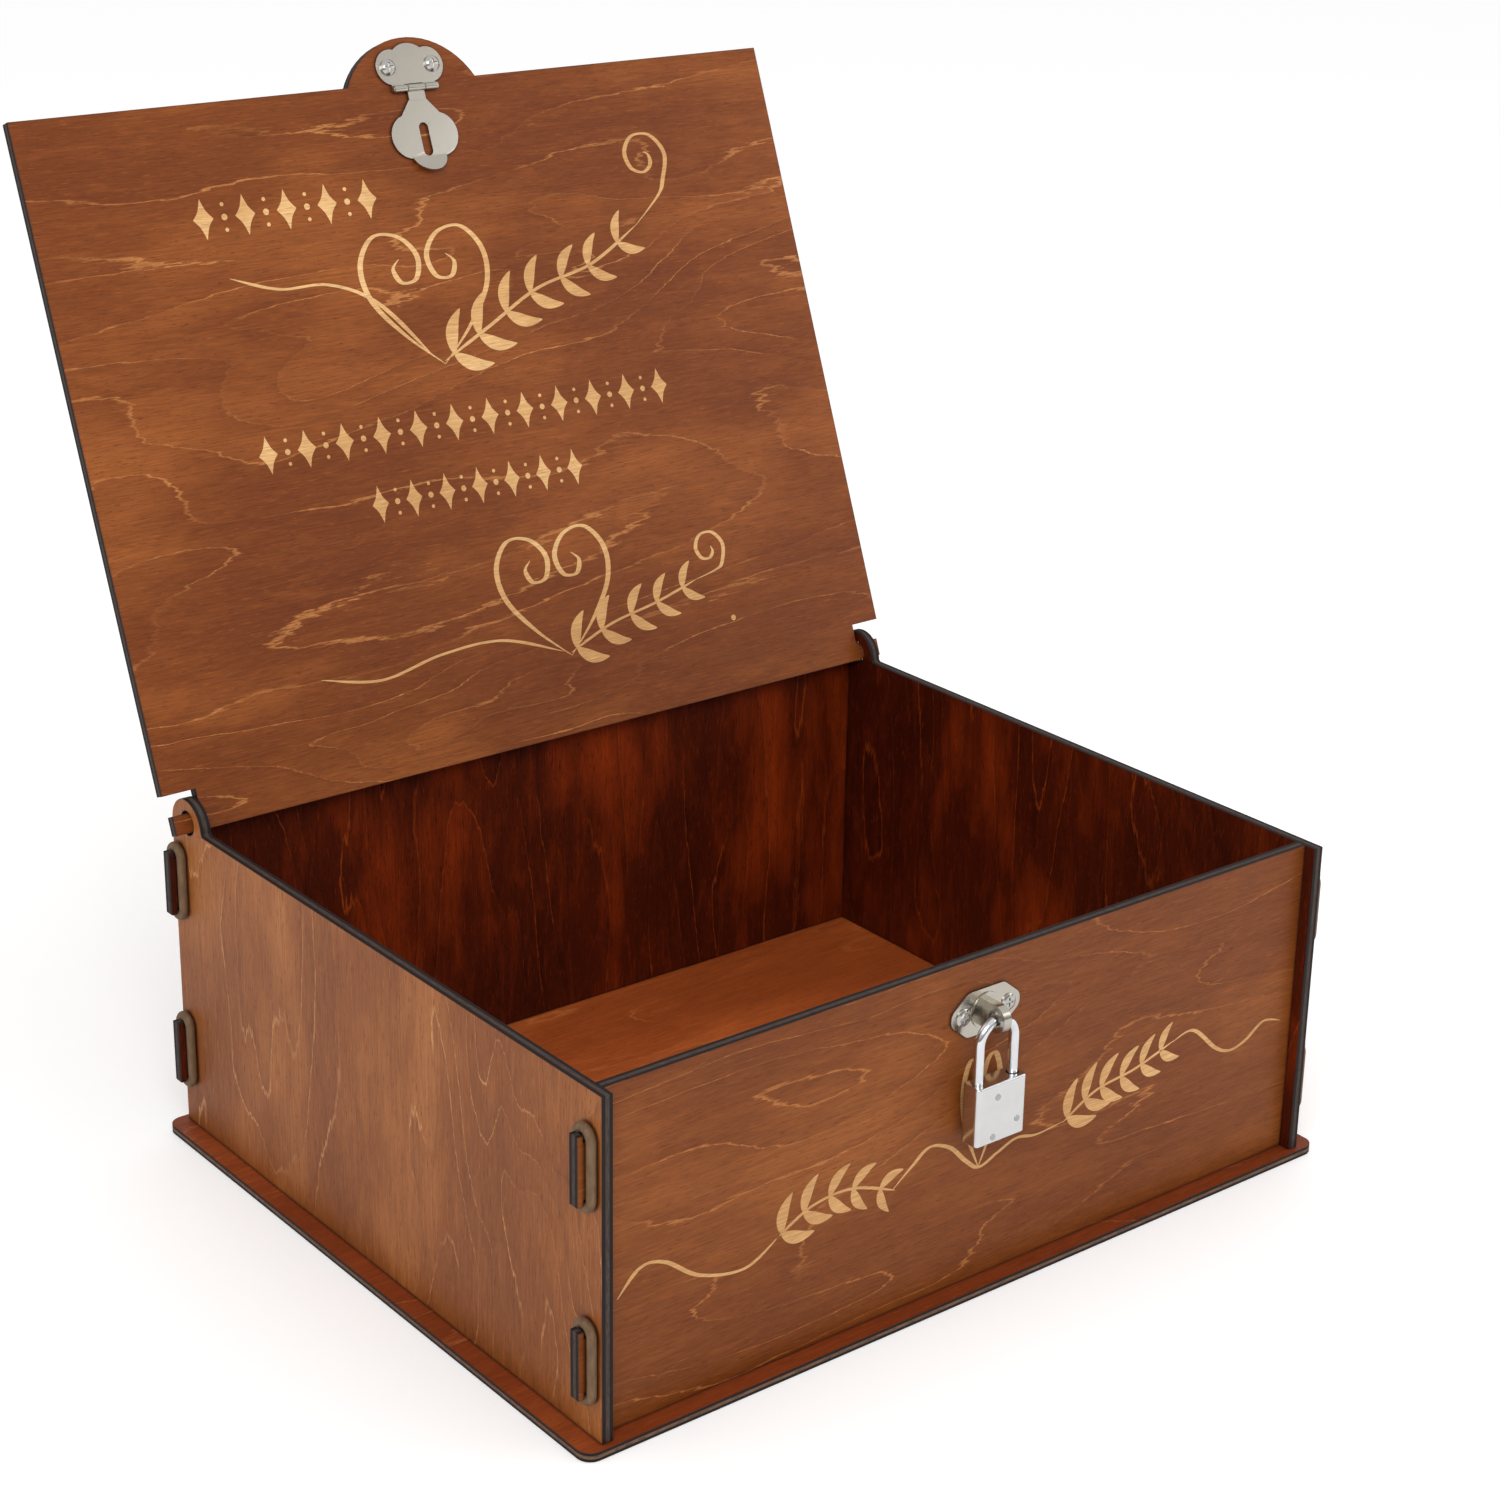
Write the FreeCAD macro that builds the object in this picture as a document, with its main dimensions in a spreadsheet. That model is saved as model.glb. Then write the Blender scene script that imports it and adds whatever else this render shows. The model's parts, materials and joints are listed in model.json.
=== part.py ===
import FreeCAD, Part
import os
import Sketcher
from FreeCAD import Placement, Rotation, Vector

# Wedding card box: laser-cut plywood panels held by tabs and rubber loops,
# a lid turning on side tongues, a hasp on the lid, a staple and a small padlock.
# Frame: +X to the right, front face towards -Y, +Z up, millimetres.
# Origin: centre of the underside of the base panel.

os.makedirs("parts", exist_ok=True)
doc = FreeCAD.newDocument("card_box")
sheet = doc.addObject("Spreadsheet::Sheet", "Sizes")
sheet.Label = "Sizes"

SIZES = [
    # sheet stock
    ("ply", 4.0, "thickness of the wall and lid plywood"),
    ("base_ply", 3.0, "thickness of the base plywood"),
    # overall sizes
    ("box_width", 300.0, "over the outer faces of the side panels"),
    ("box_depth", 250.0, "front edge to rear edge of a side panel"),
    ("wall_height", 114.4, "side and front panel height above the base"),
    ("base_over_x", 7.3, "base standing proud of a side panel"),
    ("base_over_y", 2.4, "base standing proud of a side panel edge"),
    ("base_corner", 5.0, "base corner radius"),
    ("front_inset", 4.4, "front panel behind the side panel front edges"),
    ("back_inset", 2.5, "back panel ahead of the side panel rear edges"),
    ("fit_gap", 0.1, "laser-cut clearance per side in a slot"),
    # tabs through the side panels and the loops on them
    ("tab_tall", 22.8, "height of a panel tab head"),
    ("tab_notch", 2.2, "depth of the loop seat, top and bottom"),
    ("tab_head", 2.0, "thickness of the tab head outside the loop"),
    ("loop_wire", 3.1, "rubber loop section diameter"),
    ("loop_seat_gap", 0.2, "play of the loop along its seat"),
    ("front_tab_low", 25.9, "centre of the lower front tab above the base"),
    ("front_tab_drop", 24.5, "centre of the upper front tab below the wall top"),
    ("back_tab_low", 29.4, "centre of the lower back tab above the base"),
    ("back_tab_drop", 21.0, "centre of the upper back tab below the wall top"),
    ("foot_long", 30.0, "length of a foot tab in the base"),
    ("foot_side_at", 60.0, "foot tab centre from the middle, side panels"),
    ("foot_wall_at", 80.0, "foot tab centre from the middle, front and back"),
    # hinge ears and tongues
    ("ear_round", 10.0, "outer radius of a hinge ear"),
    ("ear_rise", 0.2, "ear centre above the wall top"),
    ("ear_foot", 1.2, "fillet where the ear meets the top edge"),
    ("ear_hole", 8.6, "diameter of the tongue hole"),
    ("pivot_back", 10.8, "pivot ahead of the side panel rear edge"),
    ("tongue_tall", 6.6, "hinge tongue section along the lid"),
    ("tongue_out", 5.6, "tongue reach outside the side panel"),
    ("back_rise", 5.2, "back panel top above the pivot"),
    ("rest_gap", 0.1, "gap between the open lid and the back panel"),
    # lid
    ("lid_over", 7.75, "lid overhang past a side panel"),
    ("lid_front_over", 0.9, "shut lid standing proud of the side panel front edges"),
    ("lid_notch", 10.8, "pivot to the rear notch of the lid"),
    ("strip_gap", 0.8, "strip end to the inside of a side panel"),
    ("lip_round", 30.6, "radius of the front thumb tab"),
    ("lip_out", 16.3, "reach of the front thumb tab"),
    # hasp
    ("plate", 0.8, "hasp sheet thickness"),
    ("barrel", 2.6, "hasp barrel diameter"),
    ("pin_size", 1.2, "hasp pin diameter"),
    ("pin_brim", 0.3, "pin head standing out past the shaft"),
    ("pin_head", 0.4, "thickness of the pin head"),
    ("pin_play", 0.05, "radial running clearance on the pin"),
    ("barrel_gap", 0.15, "barrel and flap above the lid face"),
    ("hasp_in", 2.35, "barrel axis behind the lid front edge"),
    ("barrel_long", 18.4, "length over the hasp barrels"),
    ("neck_wide", 7.0, "width of the flap neck"),
    ("neck_gap", 0.3, "gap between flap barrel and leaf barrels"),
    ("neck_long", 4.1, "barrel axis to the joggle"),
    ("neck_step", 0.3, "height of the joggle"),
    ("neck_lap", 0.4, "neck running on over the flap sheet, and the leaf gap above the barrel"),
    ("leaf_lobe", 6.5, "radius of a side lobe of the leaf"),
    ("leaf_wide", 28.2, "width of the leaf"),
    ("leaf_crown", 9.0, "radius of the middle lobe of the leaf"),
    ("leaf_top", 16.4, "barrel axis to the top of the leaf"),
    ("screw_out", 9.3, "hasp screw centre from the middle"),
    ("screw_up", 8.1, "hasp screw centre from the barrel axis"),
    ("screw_head", 6.0, "screw head diameter"),
    ("head_high", 1.5, "hasp screw head height"),
    ("low_head", 0.8, "staple screw head height, under the flap"),
    ("rim_share", 0.45, "part of a screw head's height that is its upright rim"),
    ("crown_share", 0.34, "crown radius as a part of the head diameter"),
    ("cross_share", 0.55, "cross recess length as a part of the head diameter"),
    ("head_lap", 0.2, "screw shank reaching into its head"),
    ("tip_play", 0.1, "gap below a screw tip"),
    ("screw_shank", 2.4, "screw shank diameter"),
    ("screw_deep", 2.6, "screw depth in the plywood"),
    ("cross_wide", 0.7, "width of the cross recess"),
    ("flap_lobe", 8.0, "radius of a flap lobe"),
    ("flap_wide", 27.8, "width of the flap"),
    ("flap_mid", 17.4, "barrel axis to the flap lobe centres"),
    ("shoulder_wide", 16.0, "width of the flap shoulder"),
    ("shoulder_at", 9.6, "barrel axis to the flap shoulder"),
    ("slot_wide", 3.8, "width of the flap slot"),
    ("slot_long", 12.2, "length of the flap slot"),
    ("slot_mid", 18.8, "barrel axis to the slot centre"),
    ("lip_bend", 25.2, "barrel axis to the finger lip bend"),
    ("lip_radius", 7.2, "radius of the finger lip"),
    ("lip_back", 0.8, "lip centre above the bend"),
    ("lip_tuck", 0.25, "finger lip root above the bend"),
    ("lip_angle", 25.0, "finger lip bend in degrees"),
    # staple
    ("staple_drop", 18.4, "staple centre below the wall top"),
    ("staple_wide", 28.8, "width of the staple plate"),
    ("staple_tall", 15.4, "height of the staple plate"),
    ("staple_flat", 15.0, "width of the flat top of the staple plate"),
    ("staple_side", 4.0, "height of the upright ends of the staple plate"),
    ("staple_corner", 3.6, "corner radius of the staple plate"),
    ("dome_round", 6.1, "radius of the raised boss"),
    ("dome_high", 0.5, "height of the raised boss"),
    ("fin_thick", 3.0, "staple fin thickness"),
    ("fin_wall", 1.9, "metal around the eye"),
    ("eye_room", 1.1, "radial room round the shackle wire in the eye"),
    ("eye_drop", 0.6, "eye centre below the staple centre"),
    ("eye_out", 6.4, "eye centre from the panel face"),
    ("staple_screw", 9.4, "staple screw centre from the middle"),
    # padlock
    ("lock_wide", 21.0, "padlock body width"),
    ("lock_tall", 20.4, "padlock body height"),
    ("lock_deep", 7.6, "padlock body depth"),
    ("lock_corner", 1.6, "radius of the padlock body's upright corners"),
    ("lock_edge", 0.6, "radius round the padlock body's top and bottom"),
    ("wire", 3.4, "shackle wire diameter"),
    ("leg_pitch", 14.6, "distance between the shackle legs"),
    ("loop_clear", 21.9, "body top to the outside of the bow"),
    ("hang_drop", 0.6, "wire centre below the eye centre"),
    ("heel_deep", 15.5, "heel leg length inside the body"),
    ("toe_deep", 8.5, "toe leg length inside the body"),
    ("leg_play", 0.08, "radial clearance of the heel leg"),
    ("toe_play", 0.4, "radial clearance of the toe leg"),
    ("leg_spare", 0.5, "bore running on below a shackle leg"),
    ("notch_down", 1.5, "body top to the toe notch"),
    ("notch_tall", 6.0, "height of the toe notch"),
    ("notch_deep", 1.1, "depth of the toe notch"),
    ("dog_tall", 1.4, "height of the locking dog"),
    ("dog_wide", 3.0, "width of the locking dog"),
    ("dog_long", 5.0, "length of the locking dog"),
    ("dog_play", 0.2, "clearance around the locking dog"),
    ("dog_gap", 0.3, "dog nose to the bottom of the toe notch"),
    ("dog_travel", 2.0, "how far the dog draws back"),
    ("plug_size", 6.4, "key plug diameter"),
    ("plug_long", 11.0, "key plug length"),
    ("plug_play", 0.06, "radial clearance of the key plug"),
    ("plug_end", 0.2, "gap above the key plug"),
    ("plug_proud", 0.3, "key plug standing below the body"),
    ("key_wide", 1.0, "keyway width"),
    ("key_tall", 4.2, "keyway height"),
    ("key_deep", 8.0, "keyway depth"),
    ("rivet_size", 2.2, "rivet diameter"),
    ("rivet_proud", 0.12, "rivet head standing off the face"),
    ("rivet_deep", 0.6, "rivet length in the body"),
    ("rivet_top_left", 1.9, "upper rivet left of the middle"),
    ("rivet_top_down", 4.7, "upper rivet below the body top"),
    ("rivet_side_in", 3.8, "right rivet in from the right side"),
    ("rivet_side_up", 5.7, "right rivet above the body foot"),
    ("rivet_low_left", 3.4, "lower rivet left of the middle"),
    ("rivet_low_up", 2.2, "lower rivet above the body foot"),
]

for row, (alias, number, words) in enumerate(SIZES, start=1):
    sheet.set("A%d" % row, words)
    sheet.set("B%d" % row, str(number))
    sheet.setAlias("B%d" % row, alias)

# sizes that follow from the ones above
DERIVED = [
    ("front_tab_high", "=wall_height - front_tab_drop"),
    ("back_tab_high", "=wall_height - back_tab_drop"),
    ("staple_up", "=wall_height - staple_drop"),
    ("lid_reach", "=box_depth - pivot_back + lid_front_over"),
    ("half_width", "=box_width / 2"),
    ("half_depth", "=box_depth / 2"),
    ("inner_half", "=box_width / 2 - ply"),
    ("front_face", "=-box_depth / 2 + front_inset"),
    ("back_outer", "=box_depth / 2 - back_inset"),
    ("back_inner", "=box_depth / 2 - back_inset - ply"),
    ("wall_top", "=base_ply + wall_height"),
    ("pivot_along", "=box_depth / 2 - pivot_back"),
    ("pivot_up", "=base_ply + wall_height + ply / 2"),
    ("back_top", "=base_ply + wall_height + ply / 2 + back_rise"),
    ("seat_long", "=loop_wire + loop_seat_gap"),
    ("tab_reach", "=ply + loop_wire + loop_seat_gap + tab_head"),
    ("loop_half_wide", "=ply / 2 + loop_wire / 2"),
    ("loop_half_tall", "=tab_tall / 2 - tab_notch"),
    ("loop_centre", "=box_width / 2 + loop_wire / 2 + loop_seat_gap / 2"),
    ("front_tab_at", "=-box_depth / 2 + front_inset + ply / 2"),
    ("back_tab_at", "=box_depth / 2 - back_inset - ply / 2"),
    ("barrel_at", "=lid_reach - hasp_in"),
    ("barrel_off", "=ply / 2 + barrel_gap + barrel / 2"),
    ("flap_off", "=ply / 2 + barrel_gap"),
    ("staple_z", "=base_ply + staple_up"),
    ("eye_round", "=wire / 2 + eye_room"),
    ("eye_z", "=base_ply + staple_up - eye_drop"),
    ("eye_y", "=-box_depth / 2 + front_inset - eye_out"),
    ("wire_z", "=base_ply + staple_up - eye_drop - hang_drop"),
    ("bow_z", "=base_ply + staple_up - eye_drop - hang_drop - leg_pitch / 2"),
    ("lock_top", "=base_ply + staple_up - eye_drop - hang_drop + wire / 2 - loop_clear"),
    ("lock_foot", "=base_ply + staple_up - eye_drop - hang_drop + wire / 2 - loop_clear - lock_tall"),
    ("dog_nose", "=leg_pitch / 2 - wire / 2 + notch_deep - dog_gap"),
]
for extra, (alias, formula) in enumerate(DERIVED, start=len(SIZES) + 1):
    sheet.set("B%d" % extra, formula)
    sheet.setAlias("B%d" % extra, alias)
doc.recompute()

# the lid leans back until its outer face meets the top inner edge of the back panel
LEAN = (
    "acos((Sizes.ply / 2 + Sizes.rest_gap) / "
    "sqrt((Sizes.pivot_back - Sizes.back_inset - Sizes.ply)^2 + Sizes.back_rise^2))"
    " - atan(Sizes.back_rise / (Sizes.pivot_back - Sizes.back_inset - Sizes.ply))"
)


def named(text):
    """Turn plain alias words into sheet references."""
    out = []
    word = ""
    for letter in text + " ":
        if letter.isalnum() or letter == "_":
            word += letter
            continue
        if word and not word[0].isdigit() and word not in ("acos", "atan", "sqrt", "deg"):
            word = "Sizes." + word
        out.append(word)
        word = ""
        out.append(letter)
    return "".join(out).strip()


def bind(item, prop, text):
    """Bind one property of a document object to the sheet."""
    item.setExpression(prop, named(text))


def place(item, x="0", y="0", z="0"):
    """Bind the position of a document object to the sheet."""
    bind(item, "Placement.Base.x", x)
    bind(item, "Placement.Base.y", y)
    bind(item, "Placement.Base.z", z)
    return item


def block(name, long, wide, tall, x, y, z):
    """Box with its lowest corner at x, y, z."""
    item = doc.addObject("Part::Box", name)
    bind(item, "Length", long)
    bind(item, "Width", wide)
    bind(item, "Height", tall)
    return place(item, x, y, z)


TURN = {"X": Rotation(Vector(0, 1, 0), 90), "Y": Rotation(Vector(1, 0, 0), -90), "Z": Rotation()}


def rod(name, radius, tall, x, y, z, along="Z"):
    """Cylinder starting at x, y, z and running along +X, +Y or +Z."""
    item = doc.addObject("Part::Cylinder", name)
    bind(item, "Radius", radius)
    bind(item, "Height", tall)
    item.Placement = Placement(Vector(), TURN[along])
    return place(item, x, y, z)


def join(name, items):
    """Union of several objects."""
    item = doc.addObject("Part::MultiFuse", name)
    item.Shapes = items
    item.Refine = True
    return item


def carve(name, body, tools):
    """Body with the tools taken away."""
    tool = tools[0] if len(tools) == 1 else join(name + "_tools", tools)
    item = doc.addObject("Part::Cut", name)
    item.Base = body
    item.Tool = tool
    item.Refine = True
    return item


def on_lid(item):
    """Carry an object from the upright lid frame to the leaning lid."""
    item.Placement = Placement(Vector(), Rotation(Vector(1, 0, 0), -20))
    item.setExpression("Placement.Rotation.Angle", "-(" + LEAN + ")")
    item.Placement.Rotation.Axis = Vector(1, 0, 0)
    return place(item, "0", "pivot_along", "pivot_up")


def body_named(label):
    """New PartDesign body."""
    body = doc.addObject("PartDesign::Body", label)
    body.Label = label
    return body


def plane(body, role):
    """Origin plane of a body, found by its role."""
    for feature in body.Origin.OriginFeatures:
        if feature.Role == role:
            return feature
    raise ValueError(role)


def outline(body, name, role, offset, loops, circles=()):
    """Sketch on an origin plane; every corner and circle is bound to the sheet."""
    sketch = body.newObject("Sketcher::SketchObject", name)
    sketch.AttachmentSupport = [(plane(body, role), "")]
    sketch.MapMode = "FlatFace"
    bind(sketch, "AttachmentOffset.Base.z", offset)
    for number, loop in enumerate(loops):
        spots = [(value(a), value(b)) for a, b in loop]
        first = sketch.GeometryCount
        for i, (x, y) in enumerate(spots):
            x2, y2 = spots[(i + 1) % len(spots)]
            sketch.addGeometry(Part.LineSegment(Vector(x, y, 0), Vector(x2, y2, 0)), False)
        for i in range(len(spots)):
            follow = first + (i + 1) % len(spots)
            sketch.addConstraint(Sketcher.Constraint("Coincident", first + i, 2, follow, 1))
        for i, (a, b) in enumerate(loop):
            x, y = spots[i]
            for kind, amount, text in (("DistanceX", x, a), ("DistanceY", y, b)):
                index = sketch.addConstraint(Sketcher.Constraint(kind, -1, 1, first + i, 1, amount))
                label = "p%d_%d_%s" % (number, i, kind[-1].lower())
                sketch.renameConstraint(index, label)
                bind(sketch, "Constraints." + label, text)
    for number, (a, b, radius) in enumerate(circles):
        x, y, r = value(a), value(b), value(radius)
        shape = sketch.addGeometry(Part.Circle(Vector(x, y, 0), Vector(0, 0, 1), r), False)
        for kind, amount, text in (("DistanceX", x, a), ("DistanceY", y, b)):
            index = sketch.addConstraint(Sketcher.Constraint(kind, -1, 1, shape, 3, amount))
            label = "c%d_%s" % (number, kind[-1].lower())
            sketch.renameConstraint(index, label)
            bind(sketch, "Constraints." + label, text)
        index = sketch.addConstraint(Sketcher.Constraint("Radius", shape, r))
        label = "c%d_r" % number
        sketch.renameConstraint(index, label)
        bind(sketch, "Constraints." + label, radius)
    return sketch


def value(text):
    """Present value of a formula in sheet words, for the starting geometry."""
    scratch.setExpression("Amount", named(text))
    doc.recompute([scratch])
    return float(scratch.Amount)


def rectangle(a1, b1, a2, b2):
    """Corner list of a rectangle."""
    return [(a1, b1), (a2, b1), (a2, b2), (a1, b2)]


def pad(body, name, sketch, thick):
    """Pad a sketch along its normal."""
    feature = body.newObject("PartDesign::Pad", name)
    feature.Profile = sketch
    bind(feature, "Length", thick)
    sketch.Visibility = False
    return feature


def pocket(body, name, sketch):
    """Cut a sketch right through the body, both ways."""
    feature = body.newObject("PartDesign::Pocket", name)
    feature.Profile = sketch
    feature.Type = 1
    feature.Midplane = True
    sketch.Visibility = False
    return feature


def round_edges(body, name, pick, radius):
    """Fillet the edges of the present tip that the picker accepts."""
    doc.recompute()
    tip = body.Tip
    chosen = ["Edge%d" % (i + 1) for i, edge in enumerate(tip.Shape.Edges) if pick(edge)]
    if not chosen:
        raise ValueError(name)
    feature = body.newObject("PartDesign::Fillet", name)
    feature.Base = (tip, chosen)
    bind(feature, "Radius", radius)
    return feature


scratch = doc.addObject("App::FeaturePython", "scratch")
scratch.addProperty("App::PropertyFloat", "Amount")
made = {}

# ---- base panel -------------------------------------------------------------
body = body_named("base_panel")
edge_x = "half_width + base_over_x"
edge_y = "half_depth + base_over_y"
sketch = outline(body, "base_outline", "XY_Plane", "0",
                 [rectangle("-(%s)" % edge_x, "-(%s)" % edge_y, edge_x, edge_y)])
pad(body, "base_sheet", sketch, "base_ply")
slots = []
for side in ("-1", "1"):
    for at in ("-1", "1"):
        mid = "%s * foot_side_at" % at
        near = "%s * (half_width - ply / 2)" % side
        slots.append(rectangle("%s - ply / 2 - fit_gap" % near, "%s - foot_long / 2 - fit_gap" % mid,
                               "%s + ply / 2 + fit_gap" % near, "%s + foot_long / 2 + fit_gap" % mid))
for row in ("front_tab_at", "back_tab_at"):
    for at in ("-1", "1"):
        mid = "%s * foot_wall_at" % at
        slots.append(rectangle("%s - foot_long / 2 - fit_gap" % mid, "%s - ply / 2 - fit_gap" % row,
                               "%s + foot_long / 2 + fit_gap" % mid, "%s + ply / 2 + fit_gap" % row))
sketch = outline(body, "base_slots_outline", "XY_Plane", "0", slots)
pocket(body, "base_slots", sketch)


def upright_corner(edge):
    """Vertical edge at a far corner of the base."""
    middle = edge.CenterOfMass
    far = abs(middle.x) > value("half_width + 1") and abs(middle.y) > value("half_depth + 1")
    return far and abs(edge.BoundBox.ZLength - value("base_ply")) < 1e-6


round_edges(body, "base_corners", upright_corner, "base_corner")
made["base_panel"] = body

# ---- side panels ------------------------------------------------------------
for label, offset in (("left_side_panel", "-half_width"), ("right_side_panel", "inner_half")):
    body = body_named(label)
    loops = [[("-half_depth", "base_ply")]]
    for at in ("-1", "1"):
        mid = "%s * foot_side_at" % at
        loops[0] += [("%s - foot_long / 2" % mid, "base_ply"), ("%s - foot_long / 2" % mid, "0"),
                     ("%s + foot_long / 2" % mid, "0"), ("%s + foot_long / 2" % mid, "base_ply")]
    loops[0] += [("half_depth", "base_ply"), ("half_depth", "wall_top"), ("-half_depth", "wall_top")]
    sketch = outline(body, label + "_outline", "YZ_Plane", offset, loops)
    pad(body, label + "_sheet", sketch, "ply")
    ear = outline(body, label + "_ear_outline", "YZ_Plane", offset, [],
                  [("half_depth - ear_round", "wall_top + ear_rise", "ear_round")])
    pad(body, label + "_ear", ear, "ply")

    def ear_crease(edge):
        """Edge across the sheet where the ear rises from the top edge."""
        middle = edge.CenterOfMass
        near_top = abs(middle.z - value("wall_top")) < 0.05
        near_ear = abs(middle.y - value("half_depth - 2 * ear_round")) < 0.5
        return near_top and near_ear and abs(edge.BoundBox.XLength - value("ply")) < 1e-6

    round_edges(body, label + "_ear_foot", ear_crease, "ear_foot")
    holes = []
    for at, low, high in (("front_tab_at", "front_tab_low", "front_tab_high"),
                          ("back_tab_at", "back_tab_low", "back_tab_high")):
        for level in (low, high):
            holes.append(rectangle("%s - ply / 2 - fit_gap" % at,
                                   "base_ply + %s - tab_tall / 2 - fit_gap" % level,
                                   "%s + ply / 2 + fit_gap" % at,
                                   "base_ply + %s + tab_tall / 2 + fit_gap" % level))
    sketch = outline(body, label + "_openings", "YZ_Plane", offset, holes,
                     [("pivot_along", "pivot_up", "ear_hole / 2")])
    pocket(body, label + "_slots", sketch)
    made[label] = body

# ---- front and back panels --------------------------------------------------
for label, offset, top, low, high in (
    ("front_panel", "-(front_face + ply)", "wall_top", "front_tab_low", "front_tab_high"),
    ("back_panel", "-back_outer", "back_top", "back_tab_low", "back_tab_high"),
):
    body = body_named(label)
    corners = []
    for at in ("-1", "1"):
        mid = "%s * foot_wall_at" % at
        corners += [("%s - foot_long / 2" % mid, "base_ply"), ("%s - foot_long / 2" % mid, "0"),
                    ("%s + foot_long / 2" % mid, "0"), ("%s + foot_long / 2" % mid, "base_ply")]
    right = [("inner_half", "base_ply")]
    for level in (low, high):
        mid = "base_ply + %s" % level
        right += [("inner_half", "%s - tab_tall / 2" % mid),
                  ("half_width", "%s - tab_tall / 2" % mid),
                  ("half_width", "%s - tab_tall / 2 + tab_notch" % mid),
                  ("half_width + seat_long", "%s - tab_tall / 2 + tab_notch" % mid),
                  ("half_width + seat_long", "%s - tab_tall / 2" % mid),
                  ("half_width + seat_long + tab_head", "%s - tab_tall / 2" % mid),
                  ("half_width + seat_long + tab_head", "%s + tab_tall / 2" % mid),
                  ("half_width + seat_long", "%s + tab_tall / 2" % mid),
                  ("half_width + seat_long", "%s + tab_tall / 2 - tab_notch" % mid),
                  ("half_width", "%s + tab_tall / 2 - tab_notch" % mid),
                  ("half_width", "%s + tab_tall / 2" % mid),
                  ("inner_half", "%s + tab_tall / 2" % mid)]
    right += [("inner_half", top)]
    left = [("-(%s)" % a, b) for a, b in reversed(right)]
    sketch = outline(body, label + "_outline", "XZ_Plane", offset, [corners + right + left])
    pad(body, label + "_sheet", sketch, "ply")
    if label == "front_panel":
        sketch = outline(body, "staple_screw_outline", "XZ_Plane", "-front_face", [],
                         [("-staple_screw", "staple_z", "screw_shank / 2"),
                          ("staple_screw", "staple_z", "screw_shank / 2")])
        drill = body.newObject("PartDesign::Pocket", "staple_screw_holes")
        drill.Profile = sketch
        bind(drill, "Length", "screw_deep")
    made[label] = body

# ---- rubber loops on the tabs ----------------------------------------------
for side, sign in (("left", "-1"), ("right", "1")):
    for wall, at, levels in (("front", "front_tab_at", ("front_tab_low", "front_tab_high")),
                             ("back", "back_tab_at", ("back_tab_low", "back_tab_high"))):
        for height, level in zip(("lower", "upper"), levels):
            label = "loop_%s_%s_%s" % (side, wall, height)
            x = "%s * loop_centre" % sign
            bends = []
            for end, way, turn in (("low", "-1", -90), ("high", "1", 90)):
                bend = doc.addObject("Part::Torus", "%s_%s_bend" % (label, end))
                bind(bend, "Radius1", "loop_half_wide")
                bind(bend, "Radius2", "loop_wire / 2")
                bend.Angle3 = 180
                lay = Rotation(Vector(0, 1, 0), 90).multiply(Rotation(Vector(0, 0, 1), turn))
                bend.Placement = Placement(Vector(), lay)
                place(bend, x, at, "base_ply + %s + %s * loop_half_tall" % (level, way))
                bends.append(bend)
            for end, way in (("near", "-1"), ("far", "1")):
                bends.append(rod("%s_%s_run" % (label, end), "loop_wire / 2", "2 * loop_half_tall",
                                 x, "%s + %s * loop_half_wide" % (at, way),
                                 "base_ply + %s - loop_half_tall" % level))
            made[label] = join(label, bends)

# ---- lid, drawn upright with the pivot at its own origin ---------------------
# local axes: X along the hinge, Z towards the front edge, -Y out of the inner face
body = body_named("lid_panel")
wide = "half_width + lid_over"
strip = "inner_half - strip_gap"
tongue = "half_width + tongue_out"
right = [(tongue, "-tongue_tall / 2"), (tongue, "tongue_tall / 2"), (strip, "tongue_tall / 2"),
         (strip, "lid_notch"), (wide, "lid_notch"), (wide, "lid_reach")]
left = [("-(%s)" % a, b) for a, b in reversed(right)]
sketch = outline(body, "lid_outline", "XZ_Plane", "-ply / 2", [right + left])
pad(body, "lid_sheet", sketch, "ply")
sketch = outline(body, "thumb_outline", "XZ_Plane", "-ply / 2", [],
                 [("0", "lid_reach + lip_out - lip_round", "lip_round")])
pad(body, "thumb_tab", sketch, "ply")
sketch = outline(body, "hasp_screw_outline", "XZ_Plane", "ply / 2", [],
                 [("-screw_out", "barrel_at + screw_up", "screw_shank / 2"),
                  ("screw_out", "barrel_at + screw_up", "screw_shank / 2")])
drill = body.newObject("PartDesign::Pocket", "hasp_screw_holes")
drill.Profile = sketch
bind(drill, "Length", "screw_deep")
on_lid(body)
made["lid_panel"] = body

# ---- hasp leaf ----------------------------------------------------------------
face = "-ply / 2"
under = "-ply / 2 - plate"
lobe_at = "leaf_wide / 2 - leaf_lobe"
sheet_parts = [
    rod("leaf_lobe_left", "leaf_lobe", "plate", "-(%s)" % lobe_at, under, "barrel_at + screw_up", "Y"),
    rod("leaf_lobe_right", "leaf_lobe", "plate", lobe_at, under, "barrel_at + screw_up", "Y"),
    rod("leaf_crown_disc", "leaf_crown", "plate", "0", under, "barrel_at + leaf_top - leaf_crown", "Y"),
    block("leaf_web", "barrel_long", "plate", "screw_up", "-barrel_long / 2", under, "barrel_at"),
    rod("leaf_barrel", "barrel / 2", "barrel_long", "-barrel_long / 2", "-barrel_off", "barrel_at", "X"),
]
blank = join("leaf_blank", sheet_parts)
gap = "neck_wide + 2 * neck_gap"
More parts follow.
